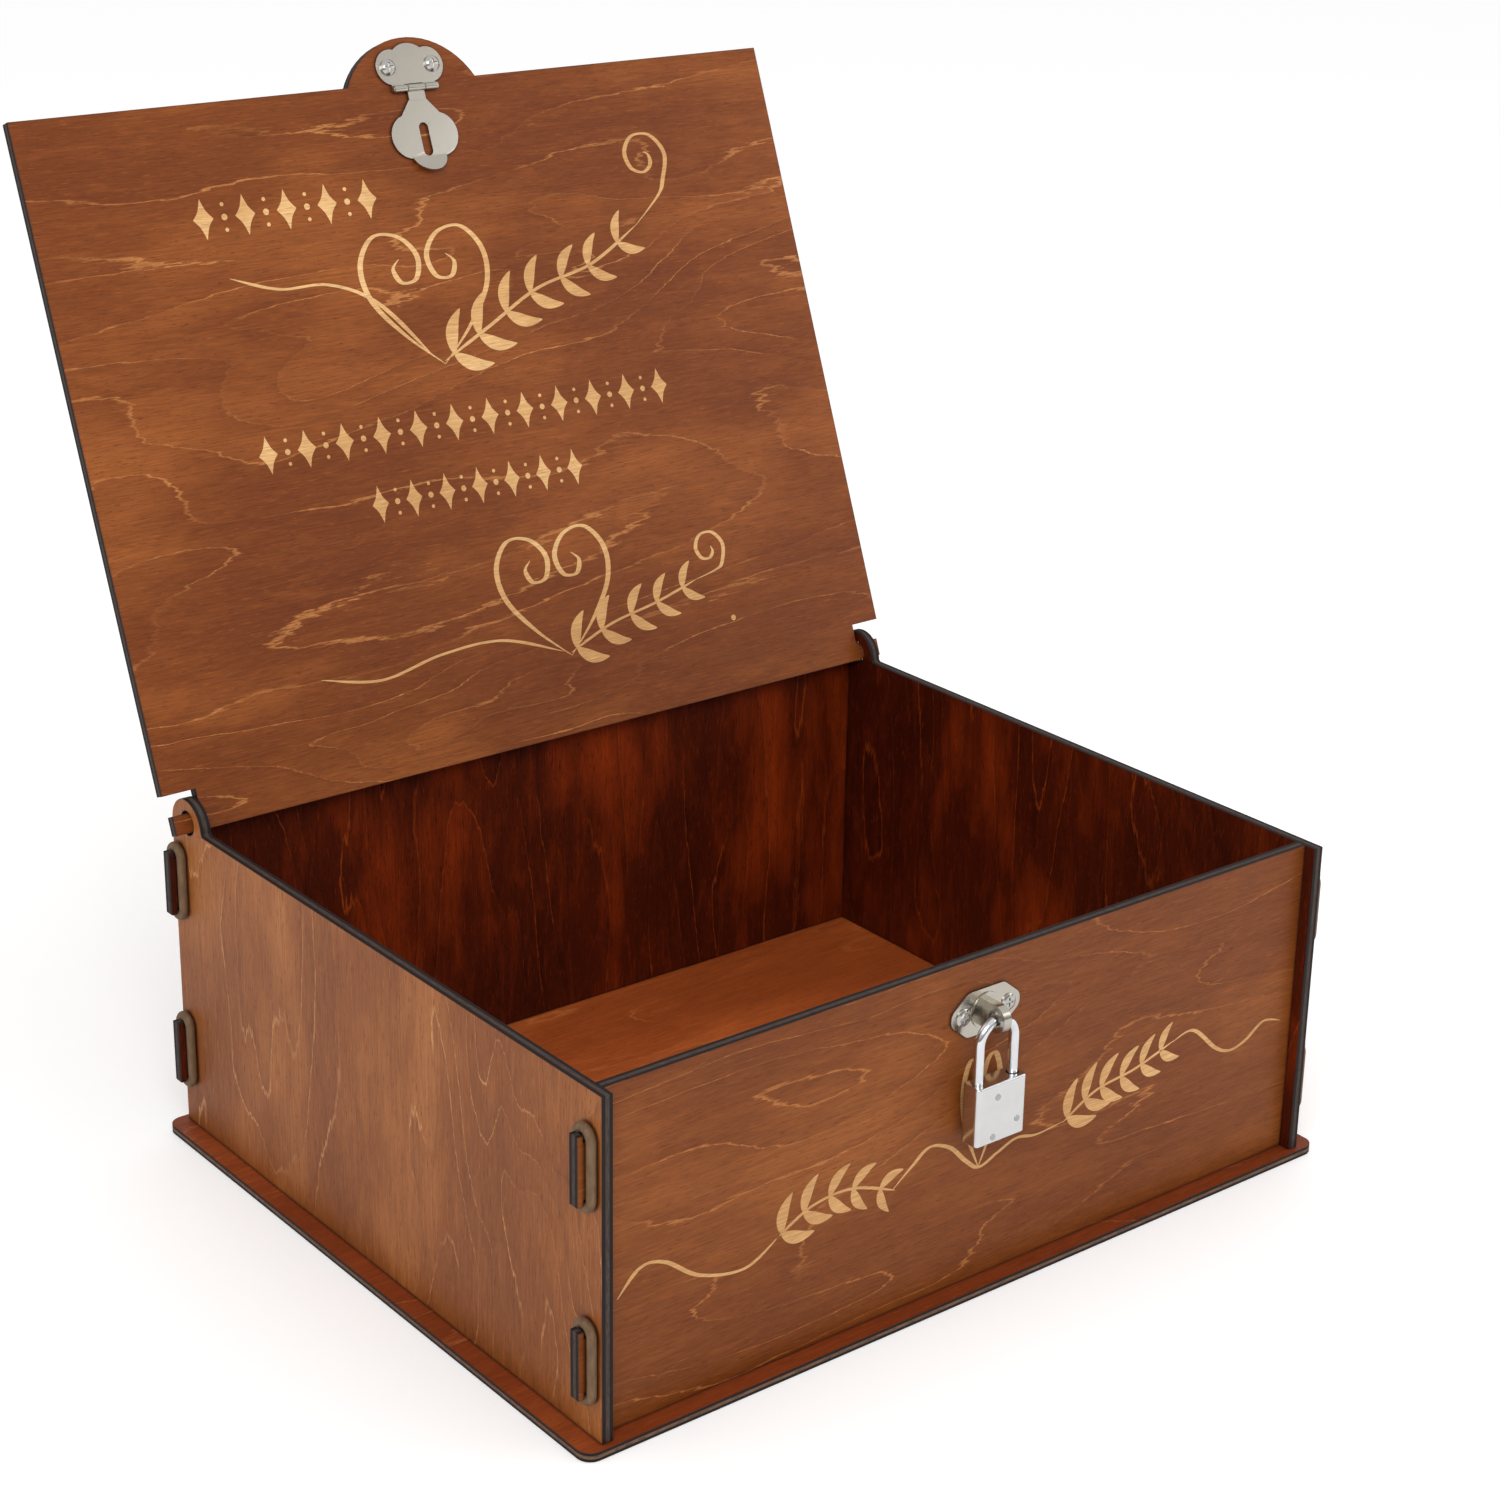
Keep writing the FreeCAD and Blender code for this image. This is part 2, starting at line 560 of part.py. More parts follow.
tools = [
    block("leaf_gap", gap, "6 * barrel", "barrel / 2 + neck_lap + 2 * barrel",
          "-(%s) / 2" % gap, "-5 * barrel", "barrel_at - 2 * barrel"),
    rod("leaf_bore", "pin_size / 2", "barrel_long + 2", "-barrel_long / 2 - 1",
        "-barrel_off", "barrel_at", "X"),
    rod("leaf_hole_left", "screw_shank / 2", "3 * plate", "-screw_out", "-ply / 2 - 2 * plate",
        "barrel_at + screw_up", "Y"),
    rod("leaf_hole_right", "screw_shank / 2", "3 * plate", "screw_out", "-ply / 2 - 2 * plate",
        "barrel_at + screw_up", "Y"),
]
made["hasp_leaf"] = on_lid(carve("hasp_leaf", blank, tools))

# ---- hasp pin -------------------------------------------------------------------
made["hasp_pin"] = on_lid(join("hasp_pin", [
    rod("pin_shaft", "pin_size / 2", "barrel_long", "-barrel_long / 2", "-barrel_off", "barrel_at", "X"),
    rod("pin_cap", "pin_size / 2 + pin_brim", "pin_head", "-barrel_long / 2 - pin_head", "-barrel_off",
        "barrel_at", "X"),
]))

# ---- hasp flap, folded flat on the inner face of the lid ------------------------
low = "-flap_off - plate"
wing = doc.addObject("Part::Wedge", "flap_wing")
for prop, text in (("Xmin", "-shoulder_wide / 2"), ("Xmax", "shoulder_wide / 2"),
                   ("X2min", "-neck_wide / 2"), ("X2max", "neck_wide / 2"),
                   ("Zmin", "0"), ("Zmax", "plate"), ("Z2min", "0"), ("Z2max", "plate"),
                   ("Ymin", "0"), ("Ymax", "shoulder_at - neck_long")):
    bind(wing, prop, text)
wing.Placement = Placement(Vector(), Rotation(Vector(1, 0, 0), 90))
place(wing, "0", "-flap_off", "barrel_at - shoulder_at")
lobes = "flap_wide / 2 - flap_lobe"
disc = [
    wing,
    rod("flap_lobe_left", "flap_lobe", "plate", "-(%s)" % lobes, low, "barrel_at - flap_mid", "Y"),
    rod("flap_lobe_right", "flap_lobe", "plate", lobes, low, "barrel_at - flap_mid", "Y"),
    block("flap_middle", "shoulder_wide", "plate", "lip_bend - shoulder_at", "-shoulder_wide / 2",
          low, "barrel_at - lip_bend"),
    block("flap_neck", "neck_wide", "plate", "neck_long + neck_lap", "-neck_wide / 2",
          "-flap_off - neck_step - plate", "barrel_at - neck_long - neck_lap"),
    rod("flap_barrel", "barrel / 2", "neck_wide", "-neck_wide / 2", "-barrel_off", "barrel_at", "X"),
]
round_lip = rod("lip_disc", "lip_radius", "plate", "0", "-plate", "lip_back", "Y")
lip_trim = block("lip_trim", "4 * lip_radius", "3 * plate", "4 * lip_radius",
                 "-2 * lip_radius", "-2 * plate", "0")
lip = carve("finger_lip", round_lip, [lip_trim])
lip.Placement = Placement(Vector(), Rotation(Vector(1, 0, 0), -25))
bind(lip, "Placement.Rotation.Angle", "-lip_angle")
place(lip, "0", "-flap_off", "barrel_at - lip_bend + lip_tuck")
slot = join("flap_slot", [
    block("slot_run", "slot_wide", "4 * plate", "slot_long - slot_wide", "-slot_wide / 2",
          "-flap_off - 2 * plate", "barrel_at - slot_mid - (slot_long - slot_wide) / 2"),
    rod("slot_top", "slot_wide / 2", "4 * plate", "0", "-flap_off - 2 * plate",
        "barrel_at - slot_mid + (slot_long - slot_wide) / 2", "Y"),
    rod("slot_end", "slot_wide / 2", "4 * plate", "0", "-flap_off - 2 * plate",
        "barrel_at - slot_mid - (slot_long - slot_wide) / 2", "Y"),
])
bore = rod("flap_bore", "pin_size / 2 + pin_play", "neck_wide + 2", "-neck_wide / 2 - 1",
           "-barrel_off", "barrel_at", "X")
made["hasp_flap"] = on_lid(carve("hasp_flap", join("flap_blank", disc + [lip]), [slot, bore]))


def screw(label, x, y, z, high):
    """Pan-head cross screw through a hasp sheet; its head faces -Y, its shank runs along +Y."""
    rim_high = "%s * rim_share" % high
    crown_high = "%s * (1 - rim_share)" % high
    rim = rod(label + "_rim", "screw_head / 2", rim_high, x, "%s - %s" % (y, rim_high), z, "Y")
    crown = doc.addObject("Part::Cone", label + "_crown")
    bind(crown, "Radius1", "screw_head * crown_share")
    bind(crown, "Radius2", "screw_head / 2")
    bind(crown, "Height", crown_high)
    crown.Placement = Placement(Vector(), TURN["Y"])
    place(crown, x, "%s - %s" % (y, high), z)
    shank = rod(label + "_shank", "screw_shank / 2", "plate + screw_deep + head_lap - tip_play",
                x, "%s - head_lap" % y, z, "Y")
    solid = join(label + "_solid", [rim, crown, shank])
    arm = "screw_head * cross_share"
    cross = [
        block(label + "_slot_a", arm, crown_high, "cross_wide",
              "%s - %s / 2" % (x, arm), "%s - %s - 0.01" % (y, high), "%s - cross_wide / 2" % z),
        block(label + "_slot_b", "cross_wide", crown_high, arm,
              "%s - cross_wide / 2" % x, "%s - %s - 0.01" % (y, high), "%s - %s / 2" % (z, arm)),
    ]
    return carve(label, solid, cross)


made["hasp_screw_left"] = on_lid(
    screw("hasp_screw_left", "-screw_out", under, "barrel_at + screw_up", "head_high"))
made["hasp_screw_right"] = on_lid(
    screw("hasp_screw_right", "screw_out", under, "barrel_at + screw_up", "head_high"))

# ---- staple ---------------------------------------------------------------------
body = body_named("staple_plate")
tall = "staple_tall / 2"
high, low = "staple_z + staple_side / 2", "staple_z - staple_side / 2"
corners = [("-staple_flat / 2", "staple_z - " + tall), ("staple_flat / 2", "staple_z - " + tall),
           ("staple_wide / 2", low), ("staple_wide / 2", high),
           ("staple_flat / 2", "staple_z + " + tall), ("-staple_flat / 2", "staple_z + " + tall),
           ("-staple_wide / 2", high), ("-staple_wide / 2", low)]
sketch = outline(body, "staple_outline", "XZ_Plane", "-front_face", [corners])
pad(body, "staple_sheet", sketch, "plate")


def plate_corner(edge):
    """Short edge through the plate thickness."""
    return abs(edge.BoundBox.YLength - value("plate")) < 1e-6 and edge.BoundBox.ZLength < 1e-6


round_edges(body, "staple_corners", plate_corner, "staple_corner")
made_plate = body
front = "front_face - plate"
boss = rod("staple_boss", "dome_round", "dome_high + 0.1", "0", "front_face - plate - dome_high",
           "staple_z", "Y")
reach = "eye_out - plate / 2"
fin = join("staple_fin", [
    rod("fin_round", "eye_round + fin_wall", "fin_thick", "-fin_thick / 2", "eye_y", "eye_z", "X"),
    block("fin_root", "fin_thick", reach, "2 * (eye_round + fin_wall)", "-fin_thick / 2", "eye_y",
          "eye_z - eye_round - fin_wall"),
])
tools = [
    rod("staple_eye", "eye_round", "fin_thick + 2", "-fin_thick / 2 - 1", "eye_y", "eye_z", "X"),
    rod("staple_hole_left", "screw_shank / 2", "3 * plate", "-staple_screw",
        "front_face - 2 * plate", "staple_z", "Y"),
    rod("staple_hole_right", "screw_shank / 2", "3 * plate", "staple_screw",
        "front_face - 2 * plate", "staple_z", "Y"),
]
made["staple"] = carve("staple", join("staple_blank", [made_plate, boss, fin]), tools)
made["staple_screw_left"] = screw("staple_screw_left", "-staple_screw", front, "staple_z", "low_head")
made["staple_screw_right"] = screw("staple_screw_right", "staple_screw", front, "staple_z", "low_head")

# ---- padlock shackle ------------------------------------------------------------
bow = doc.addObject("Part::Torus", "shackle_bow")
bind(bow, "Radius1", "leg_pitch / 2")
bind(bow, "Radius2", "wire / 2")
bow.Angle3 = 180
bow.Placement = Placement(Vector(), Rotation(Vector(1, 0, 0), 90))
place(bow, "0", "eye_y", "bow_z")
heel = rod("shackle_heel", "wire / 2", "bow_z - lock_top + heel_deep", "-leg_pitch / 2", "eye_y",
           "lock_top - heel_deep")
toe = rod("shackle_toe", "wire / 2", "bow_z - lock_top + toe_deep", "leg_pitch / 2", "eye_y",
          "lock_top - toe_deep")
notch = block("toe_notch", "notch_deep + 1", "2 * wire", "notch_tall",
              "leg_pitch / 2 - wire / 2 - 1", "eye_y - wire", "lock_top - notch_down - notch_tall")
made["padlock_shackle"] = carve("padlock_shackle", join("shackle_bar", [bow, heel, toe]), [notch])

# ---- padlock body ---------------------------------------------------------------
body = body_named("padlock_case")
sketch = outline(body, "case_outline", "XY_Plane", "lock_foot",
                 [rectangle("-lock_wide / 2", "eye_y - lock_deep / 2",
                            "lock_wide / 2", "eye_y + lock_deep / 2")])
pad(body, "case_block", sketch, "lock_tall")
round_edges(body, "case_corners", lambda edge: edge.BoundBox.ZLength > 1, "lock_corner")
round_edges(body, "case_edges", lambda edge: edge.BoundBox.ZLength < 0.001, "lock_edge")
dog_low = "lock_top - notch_down - dog_play - dog_tall"
rivet_spots = [("upper_left", "-rivet_top_left", "lock_top - rivet_top_down"),
               ("right", "lock_wide / 2 - rivet_side_in", "lock_foot + rivet_side_up"),
               ("lower_left", "-rivet_low_left", "lock_foot + rivet_low_up")]
bores = [
    rod("heel_bore", "wire / 2 + leg_play", "heel_deep + leg_spare + 1", "-leg_pitch / 2", "eye_y",
        "lock_top - heel_deep - leg_spare"),
    rod("toe_bore", "wire / 2 + toe_play", "toe_deep + leg_spare + 1", "leg_pitch / 2", "eye_y",
        "lock_top - toe_deep - leg_spare"),
    rod("plug_bore", "plug_size / 2 + plug_play", "plug_long + 1", "0", "eye_y", "lock_foot - 1"),
    block("dog_chamber", "dog_long + dog_travel + dog_play + dog_gap", "dog_wide + 2 * dog_play",
          "dog_tall + 2 * dog_play", "dog_nose - dog_long - dog_travel - dog_play",
          "eye_y - dog_wide / 2 - dog_play", dog_low + " - dog_play"),
]
for name, x, z in rivet_spots:
    bores.append(rod("rivet_hole_" + name, "rivet_size / 2", "rivet_deep + 1", x,
                     "eye_y - lock_deep / 2 - 1", z, "Y"))
made["padlock_body"] = carve("padlock_body", body, bores)
for name, x, z in rivet_spots:
    label = "padlock_rivet_" + name
    made[label] = rod(label, "rivet_size / 2", "rivet_deep + rivet_proud", x,
                      "eye_y - lock_deep / 2 - rivet_proud", z, "Y")

# ---- key plug and locking dog -----------------------------------------------------
plug = rod("plug_bar", "plug_size / 2", "plug_long + plug_proud - plug_end", "0", "eye_y",
           "lock_foot - plug_proud")
keyway = block("keyway", "key_wide", "key_tall", "key_deep + 1", "-key_wide / 2",
               "eye_y - key_tall / 2", "lock_foot - plug_proud - 1")
made["padlock_plug"] = carve("padlock_plug", plug, [keyway])
made["padlock_dog"] = block("padlock_dog", "dog_long", "dog_wide", "dog_tall",
                            "dog_nose - dog_long", "eye_y - dog_wide / 2", dog_low)

doc.recompute()

# ---- check and write ----------------------------------------------------------------
problems = []
for item in doc.Objects:
    if "Invalid" in item.State or "Error" in item.State:
        problems.append("%s %s" % (item.Name, item.State))
for label, item in made.items():
    item.Label = label
    if item.Shape.isNull() or not item.Shape.isValid() or len(item.Shape.Solids) != 1:
        problems.append("%s shape, %d solids" % (label, len(item.Shape.Solids)))
if problems:
    raise RuntimeError("; ".join(problems))
for label, item in made.items():
    item.Shape.exportStep("parts/%s.step" % label)
print("written", len(made), "nodes")
for label, item in made.items():
    b = item.Shape.BoundBox
    print("%-30s x %8.2f %8.2f  y %8.2f %8.2f  z %8.2f %8.2f  v %.1f" % (
        label, b.XMin, b.XMax, b.YMin, b.YMax, b.ZMin, b.ZMax, item.Shape.Volume))
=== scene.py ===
# %% [markdown]
# # A stained plywood card box with a hasp and a small padlock
#
# The box is laser cut from thin plywood and stained a reddish brown. The
# shapes, the sizes and the hinges come ready made as a fixed frame. This
# lesson adds what the frame lacks: the wood, the burnt edges, the metals,
# the engraved ornament, and a small studio to look at it all.

# %% Load the frame
import json
import math

import bmesh
import bpy
from mathutils import Matrix, Vector


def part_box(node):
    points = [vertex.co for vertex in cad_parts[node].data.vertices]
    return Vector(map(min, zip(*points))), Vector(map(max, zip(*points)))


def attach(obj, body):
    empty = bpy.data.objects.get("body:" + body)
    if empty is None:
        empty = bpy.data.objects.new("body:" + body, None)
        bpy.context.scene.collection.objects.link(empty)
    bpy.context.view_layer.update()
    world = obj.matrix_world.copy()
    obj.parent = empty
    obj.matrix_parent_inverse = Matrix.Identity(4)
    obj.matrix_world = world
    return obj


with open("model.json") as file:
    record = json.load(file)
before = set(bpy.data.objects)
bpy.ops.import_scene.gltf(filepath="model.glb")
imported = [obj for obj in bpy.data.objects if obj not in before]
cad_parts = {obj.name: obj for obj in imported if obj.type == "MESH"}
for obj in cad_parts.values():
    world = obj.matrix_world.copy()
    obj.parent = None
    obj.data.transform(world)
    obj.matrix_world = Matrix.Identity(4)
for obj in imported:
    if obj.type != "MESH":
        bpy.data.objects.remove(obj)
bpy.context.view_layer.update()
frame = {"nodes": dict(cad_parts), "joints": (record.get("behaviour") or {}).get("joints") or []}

nodes = frame["nodes"]
joints = {joint["name"]: joint for joint in frame["joints"]}

# %% [markdown]
# ## Colours in a maker's terms
#
# A stain is easiest to name the way a paint card does, from 0 to 255. The
# shaders want linear light instead, so one helper turns the first into the
# second. The plain view transform keeps the colours as they are mixed.

# %% Colour helper
def tint(red, green, blue):
    """Linear colour with alpha from a 0 to 255 mix."""
    mix = []
    for part in (red, green, blue):
        part /= 255.0
        mix.append(part / 12.92 if part <= 0.04045 else ((part + 0.055) / 1.055) ** 2.4)
    return (*mix, 1.0)


bpy.context.scene.view_settings.view_transform = "Standard"
print("mid stain", [round(v, 3) for v in tint(140, 84, 51)])

# %% [markdown]
# ## Wiring nodes without clutter
#
# A shader is a net of small steps. Placing every node by hand takes many
# lines, so a few helpers do it: one places a node and fills its inputs, and
# the others do arithmetic, blend two colours or two values, stretch a range,
# draw a noise out along an axis, and open an empty group. A value that is
# itself an output gets linked, and any other value is typed in.

# %% Node helpers
def put(tree, kind, ins=None, **settings):
    """New node; ins maps an input to a value or to another node's output."""
    node = tree.nodes.new(kind)
    for name, value in settings.items():
        setattr(node, name, value)
    for key, value in (ins or {}).items():
        if isinstance(value, bpy.types.NodeSocket):
            tree.links.new(value, node.inputs[key])
        else:
            node.inputs[key].default_value = value
    return node


def calc(tree, operation, a, b=0.0, c=0.0, clamp=False):
    """Arithmetic on one to three values."""
    ins = {0: a, 1: b, 2: c}
    return put(tree, "ShaderNodeMath", ins, operation=operation, use_clamp=clamp).outputs[0]


def blend(tree, amount, a, b, kind="MIX"):
    """Blend of two colours."""
    ins = {0: amount, 6: a, 7: b}
    node = put(tree, "ShaderNodeMix", ins, data_type="RGBA", blend_type=kind, clamp_factor=True)
    return node.outputs[2]


def between(tree, amount, a, b):
    """Blend of two values."""
    ins = {0: amount, 2: a, 3: b}
    return put(tree, "ShaderNodeMix", ins, data_type="FLOAT").outputs[0]


def spread(tree, value, low, high, new_low=0.0, new_high=1.0):
    """Stretch a value from one range to another and hold it at the ends."""
    ins = {0: value, 1: low, 2: high, 3: new_low, 4: new_high}
    return put(tree, "ShaderNodeMapRange", ins, clamp=True).outputs[0]


def stretched(tree, place, scales, **noise):
    """Noise that is drawn out along the axes by the given scales."""
    ins = {0: place, 1: scales}
    scaled = put(tree, "ShaderNodeVectorMath", ins, operation="MULTIPLY").outputs[0]
    ins = {"Vector": scaled, "Scale": 1.0}
    ins.update(noise)
    return put(tree, "ShaderNodeTexNoise", ins).outputs["Fac"]


def new_group(name, inputs, outputs):
    """Empty shader node group with named sockets."""
    tree = bpy.data.node_groups.new(name, "ShaderNodeTree")
    for label, kind, start in inputs:
        socket = tree.interface.new_socket(label, in_out="INPUT", socket_type="NodeSocket" + kind)
        if start is not None:
            socket.default_value = start
    for label, kind in outputs:
        tree.interface.new_socket(label, in_out="OUTPUT", socket_type="NodeSocket" + kind)
    entry = tree.nodes.new("NodeGroupInput").outputs
    leave = tree.nodes.new("NodeGroupOutput").inputs
    return tree, entry, leave


# %% [markdown]
# ## The stained veneer
#
# The face of birch plywood is peeled off a turning log in one long sheet, so
# the growth rings come out as loose contour lines, like those on a map. They
# could be drawn by hand, but the contours of a smooth noise give the same
# loops for free. Stain slides off the hard edge of a ring, so each contour is
# a thin pale line with ragged teeth, and the wood darkens slowly towards it.
# Fibres, short dark pores, small glints painted in as highlights, flecks and
# cloudy patches where the stain soaked in unevenly go on top. One group holds
# it all, in millimetres, with X along the grain, Y across it and Z through the sheet.

# %% Veneer group
veneer, given, gives = new_group(
    "stained_veneer",
    [("Place", "Vector", None), ("Light", "Color", tint(160, 100, 64)),
     ("Middle", "Color", tint(140, 84, 51)), ("Dark", "Color", tint(100, 50, 27)),
     ("Line", "Color", tint(186, 128, 82)), ("Figure", "Float", 1.0), ("Seed", "Float", 0.0)],
    [("Colour", "Color"), ("Roughness", "Float"), ("Height", "Float")],
)
flat = put(veneer, "ShaderNodeVectorMath", {0: given["Place"], 1: (1.0, 1.0, 0.0)},
           operation="MULTIPLY").outputs[0]
shift = put(veneer, "ShaderNodeCombineXYZ", {2: given["Seed"]}).outputs[0]
spot = put(veneer, "ShaderNodeVectorMath", {0: flat, 1: shift}, operation="ADD").outputs[0]

# %% Growth rings
RING_COUNT = 13.0
TOOTH_DEPTH = 0.025

rings = stretched(veneer, spot, (0.0034, 0.0145, 1.0), Detail=2.0, Roughness=0.45, Distortion=0.5)
teeth = stretched(veneer, spot, (0.055, 0.5, 1.0), Detail=4.0, Roughness=0.66)
level = calc(veneer, "MULTIPLY_ADD", teeth, TOOTH_DEPTH, rings)
turn = calc(veneer, "FRACT", calc(veneer, "MULTIPLY", level, RING_COUNT))
dusk = calc(veneer, "POWER", spread(veneer, turn, 0.3, 0.93), 2.0)
dusk = calc(veneer, "MULTIPLY", dusk, spread(veneer, turn, 0.94, 1.0, 1.0, 0.0))
come = stretched(veneer, spot, (0.016, 0.05, 4.1), Detail=2.0, Roughness=0.5)
line_start = spread(veneer, turn, 0.945, 0.97)
line_end = spread(veneer, turn, 0.978, 0.995, 1.0, 0.0)
line = calc(veneer, "MULTIPLY", line_start, line_end)
line = calc(veneer, "MULTIPLY", line, spread(veneer, come, 0.4, 0.6, 0.12, 1.0))

# %% Fibres, pores and clouds
cloud = stretched(veneer, spot, (0.008, 0.02, 1.7), Detail=4.0, Roughness=0.58)
fibre = stretched(veneer, spot, (0.022, 1.15, 1.3), Detail=5.0, Roughness=0.62)
thread = stretched(veneer, spot, (0.09, 4.5, 1.1), Detail=3.0, Roughness=0.6)
pore = spread(veneer, stretched(veneer, spot, (0.28, 2.6, 2.3), Detail=2.0, Roughness=0.55), 0.6, 0.7)
# Painted highlight: small bright glints that lighten the stain's colour.
painted_glint = spread(veneer, stretched(veneer, spot, (0.2, 2.2, 5.3), Detail=2.0, Roughness=0.6), 0.61, 0.72)
flare = spread(veneer, stretched(veneer, spot, (0.03, 0.14, 2.9), Detail=4.5, Roughness=0.68,
                                 Distortion=0.8), 0.5, 0.78)

# %% [markdown]
# ## Laying the stain
# The marks go on one after another, as a stain does: the cloudy ground first,
# then the darker streaks and pores, then the glints, which are painted
# highlights, and the pale ring lines. Each has its own strength, so one mark
# can be turned up without the rest. Last, the threads and flecks make the
# whole colour a little lighter or darker, which keeps the wood lively from
# close by.

# %% Stain layers
def layer(amount, strength, base, colour):
    """Lay one mark of the veneer over the colours so far."""
    return blend(veneer, calc(veneer, "MULTIPLY", amount, strength), base, colour)


def with_figure(amount):
    """Scale a mark by how strongly the panel is figured."""
    return calc(veneer, "MULTIPLY", amount, given["Figure"])


base = blend(veneer, spread(veneer, cloud, 0.36, 0.6), given["Dark"], given["Middle"])
base = blend(veneer, 0.45, base, given["Middle"])
base = layer(spread(veneer, cloud, 0.5, 0.68), 0.8, base, given["Light"])
base = layer(spread(veneer, fibre, 0.36, 0.68), 0.3, base, given["Dark"])
base = layer(with_figure(dusk), 0.3, base, given["Dark"])
base = layer(with_figure(flare), 0.3, base, given["Light"])
base = layer(pore, 0.75, base, given["Dark"])
# The glints are painted highlights mixed into the colour.
base = layer(painted_glint, 0.45, base, given["Light"])
base = layer(with_figure(line), 0.7, base, given["Line"])
fleck = stretched(veneer, spot, (0.11, 1.7, 3.7), Detail=3.0, Roughness=0.62)
thread_shade = spread(veneer, thread, 0.3, 0.7, 0.86, 1.12)
fleck_shade = spread(veneer, fleck, 0.32, 0.68, 0.85, 1.16)
fine = calc(veneer, "MULTIPLY", thread_shade, fleck_shade)
shade = put(veneer, "ShaderNodeVectorMath", {0: base, 3: fine}, operation="SCALE").outputs[0]
veneer.links.new(shade, gives["Colour"])

# %% Veneer gloss and relief
rough = calc(veneer, "MULTIPLY_ADD", fibre, 0.16, 0.38)
veneer.links.new(calc(veneer, "MULTIPLY_ADD", pore, 0.15, rough), gives["Roughness"])
relief = calc(veneer, "MULTIPLY_ADD", thread, 0.5, calc(veneer, "MULTIPLY", fibre, 0.5))
relief = calc(veneer, "MULTIPLY_ADD", pore, -0.7, relief)
veneer.links.new(calc(veneer, "MULTIPLY_ADD", line, -0.15, relief), gives["Height"])
print("veneer nodes", len(veneer.nodes))

# %% [markdown]
# ## The burnt edge
#
# A laser leaves the cut edge almost black, and the middle ply chars a little
# less than the glue lines, so a paler stripe runs along it. The sheet's two
# faces lie at exactly half its thickness, so a point nearer the middle has to
# be on a cut edge. That makes a mask with no painting at all. A second mask
# finds the last millimetre of a face beside an edge, where smoke darkened it.

# %% Burnt edge group
burnt, given, gives = new_group(
    "burnt_edge",
    [("Place", "Vector", None), ("Half", "Float", 2.0), ("Core", "Color", tint(74, 62, 56))],
    [("Colour", "Color"), ("Edge", "Float"), ("Smoke", "Float"), ("Height", "Float")],
)
axes = put(burnt, "ShaderNodeSeparateXYZ", {0: given["Place"]}).outputs
depth = calc(burnt, "ABSOLUTE", axes[2])
inside = calc(burnt, "SUBTRACT", given["Half"], depth)
burnt.links.new(spread(burnt, inside, 0.008, 0.05), gives["Edge"])

soot = stretched(burnt, given["Place"], (0.35, 0.35, 1.6), Detail=4.0, Roughness=0.65)
near = calc(burnt, "DIVIDE", depth, given["Half"])
stripe = spread(burnt, calc(burnt, "MULTIPLY_ADD", soot, 0.14, near), 0.36, 0.5, 1.0, 0.0)
stripe = calc(burnt, "MULTIPLY", stripe, spread(burnt, soot, 0.3, 0.62, 0.3, 1.0))
burnt.links.new(blend(burnt, stripe, tint(30, 23, 23), given["Core"]), gives["Colour"])

# %% Smoke beside the edge
SMOKE_REACH = 0.0011

true_way = put(burnt, "ShaderNodeNewGeometry").outputs["Normal"]
round_way = put(burnt, "ShaderNodeBevel", {"Radius": SMOKE_REACH}, samples=6).outputs[0]
match = put(burnt, "ShaderNodeVectorMath", {0: true_way, 1: round_way},
            operation="DOT_PRODUCT").outputs["Value"]
smoke = spread(burnt, calc(burnt, "SUBTRACT", 1.0, match), 0.0, 0.22)
smoke = calc(burnt, "MULTIPLY", smoke, spread(burnt, soot, 0.3, 0.65, 0.45, 1.0))
burnt.links.new(smoke, gives["Smoke"])
grit = stretched(burnt, given["Place"], (2.2, 2.2, 5.0), Detail=3.0, Roughness=0.6)
burnt.links.new(calc(burnt, "MULTIPLY", grit, 0.8), gives["Height"])
print("burnt edge nodes", len(burnt.nodes))

# %% [markdown]
# ## Setting a sheet's own directions
#
# Every panel is cut from a flat sheet, so its wood should be described in the
# sheet's own directions and not in the room's. A Mapping node does the move:
# it turns the grain onto X and the outward face onto Z, with the sheet's
# middle at zero. The lid leans back, and the same step straightens it.

# %% Sheet directions
MM = 1000.0


def in_sheet(tree, along, outward, middle):
    """Place in a sheet's own directions, in millimetres."""
    along, outward = Vector(along).normalized(), Vector(outward).normalized()
    turn = Matrix((along, outward.cross(along), outward))
    where = put(tree, "ShaderNodeTexCoord").outputs["Object"]
    ins = {"Vector": where, "Location": -(turn @ Vector(middle)) * MM,
           "Rotation": turn.to_euler("XYZ"), "Scale": (MM, MM, MM)}
    return put(tree, "ShaderNodeMapping", ins, vector_type="POINT").outputs[0]


def place_group(tree, group, ins):
    """Group node with its inputs filled."""
    node = tree.nodes.new("ShaderNodeGroup")
    node.node_tree = group
    for key, value in ins.items():
        if isinstance(value, bpy.types.NodeSocket):
            tree.links.new(value, node.inputs[key])
        else:
            node.inputs[key].default_value = value
    return node.outputs


def new_material(name):
    """Material with an empty Principled shader."""
    material = bpy.data.materials.new(name)
    material.use_nodes = True
    tree = material.node_tree
    return material, tree, tree.nodes["Principled BSDF"]


# %% [markdown]
# ## The plywood itself
#
# Each panel gets its own material, because each was cut from another part of
# the sheet and its grain runs its own way. Two veneers are laid in it, one
# for the outer face and one for the inner face, and the sign of the depth
# picks between them. The base also wears its darker face on the apron that
# stands out past the walls. The burnt edge covers everything. Last, shade is
# painted in where two sheets meet or another part is close: the Ambient
# Occlusion node finds those places, because it measures how open the last
# millimetre in front of a point is.

# %% Plywood material
SMOKE = tint(52, 27, 18)
SMOKE_STRENGTH = 0.75
# Dark tone mixed in as painted shade where other parts are close, in joints and crevices.
JOINT_SHADE = tint(44, 14, 6)
JOINT_SHADE_REACH = 0.0012
JOINT_SHADE_STRENGTH = 0.7
INNER_TO_OUTER_SEED = 7.3


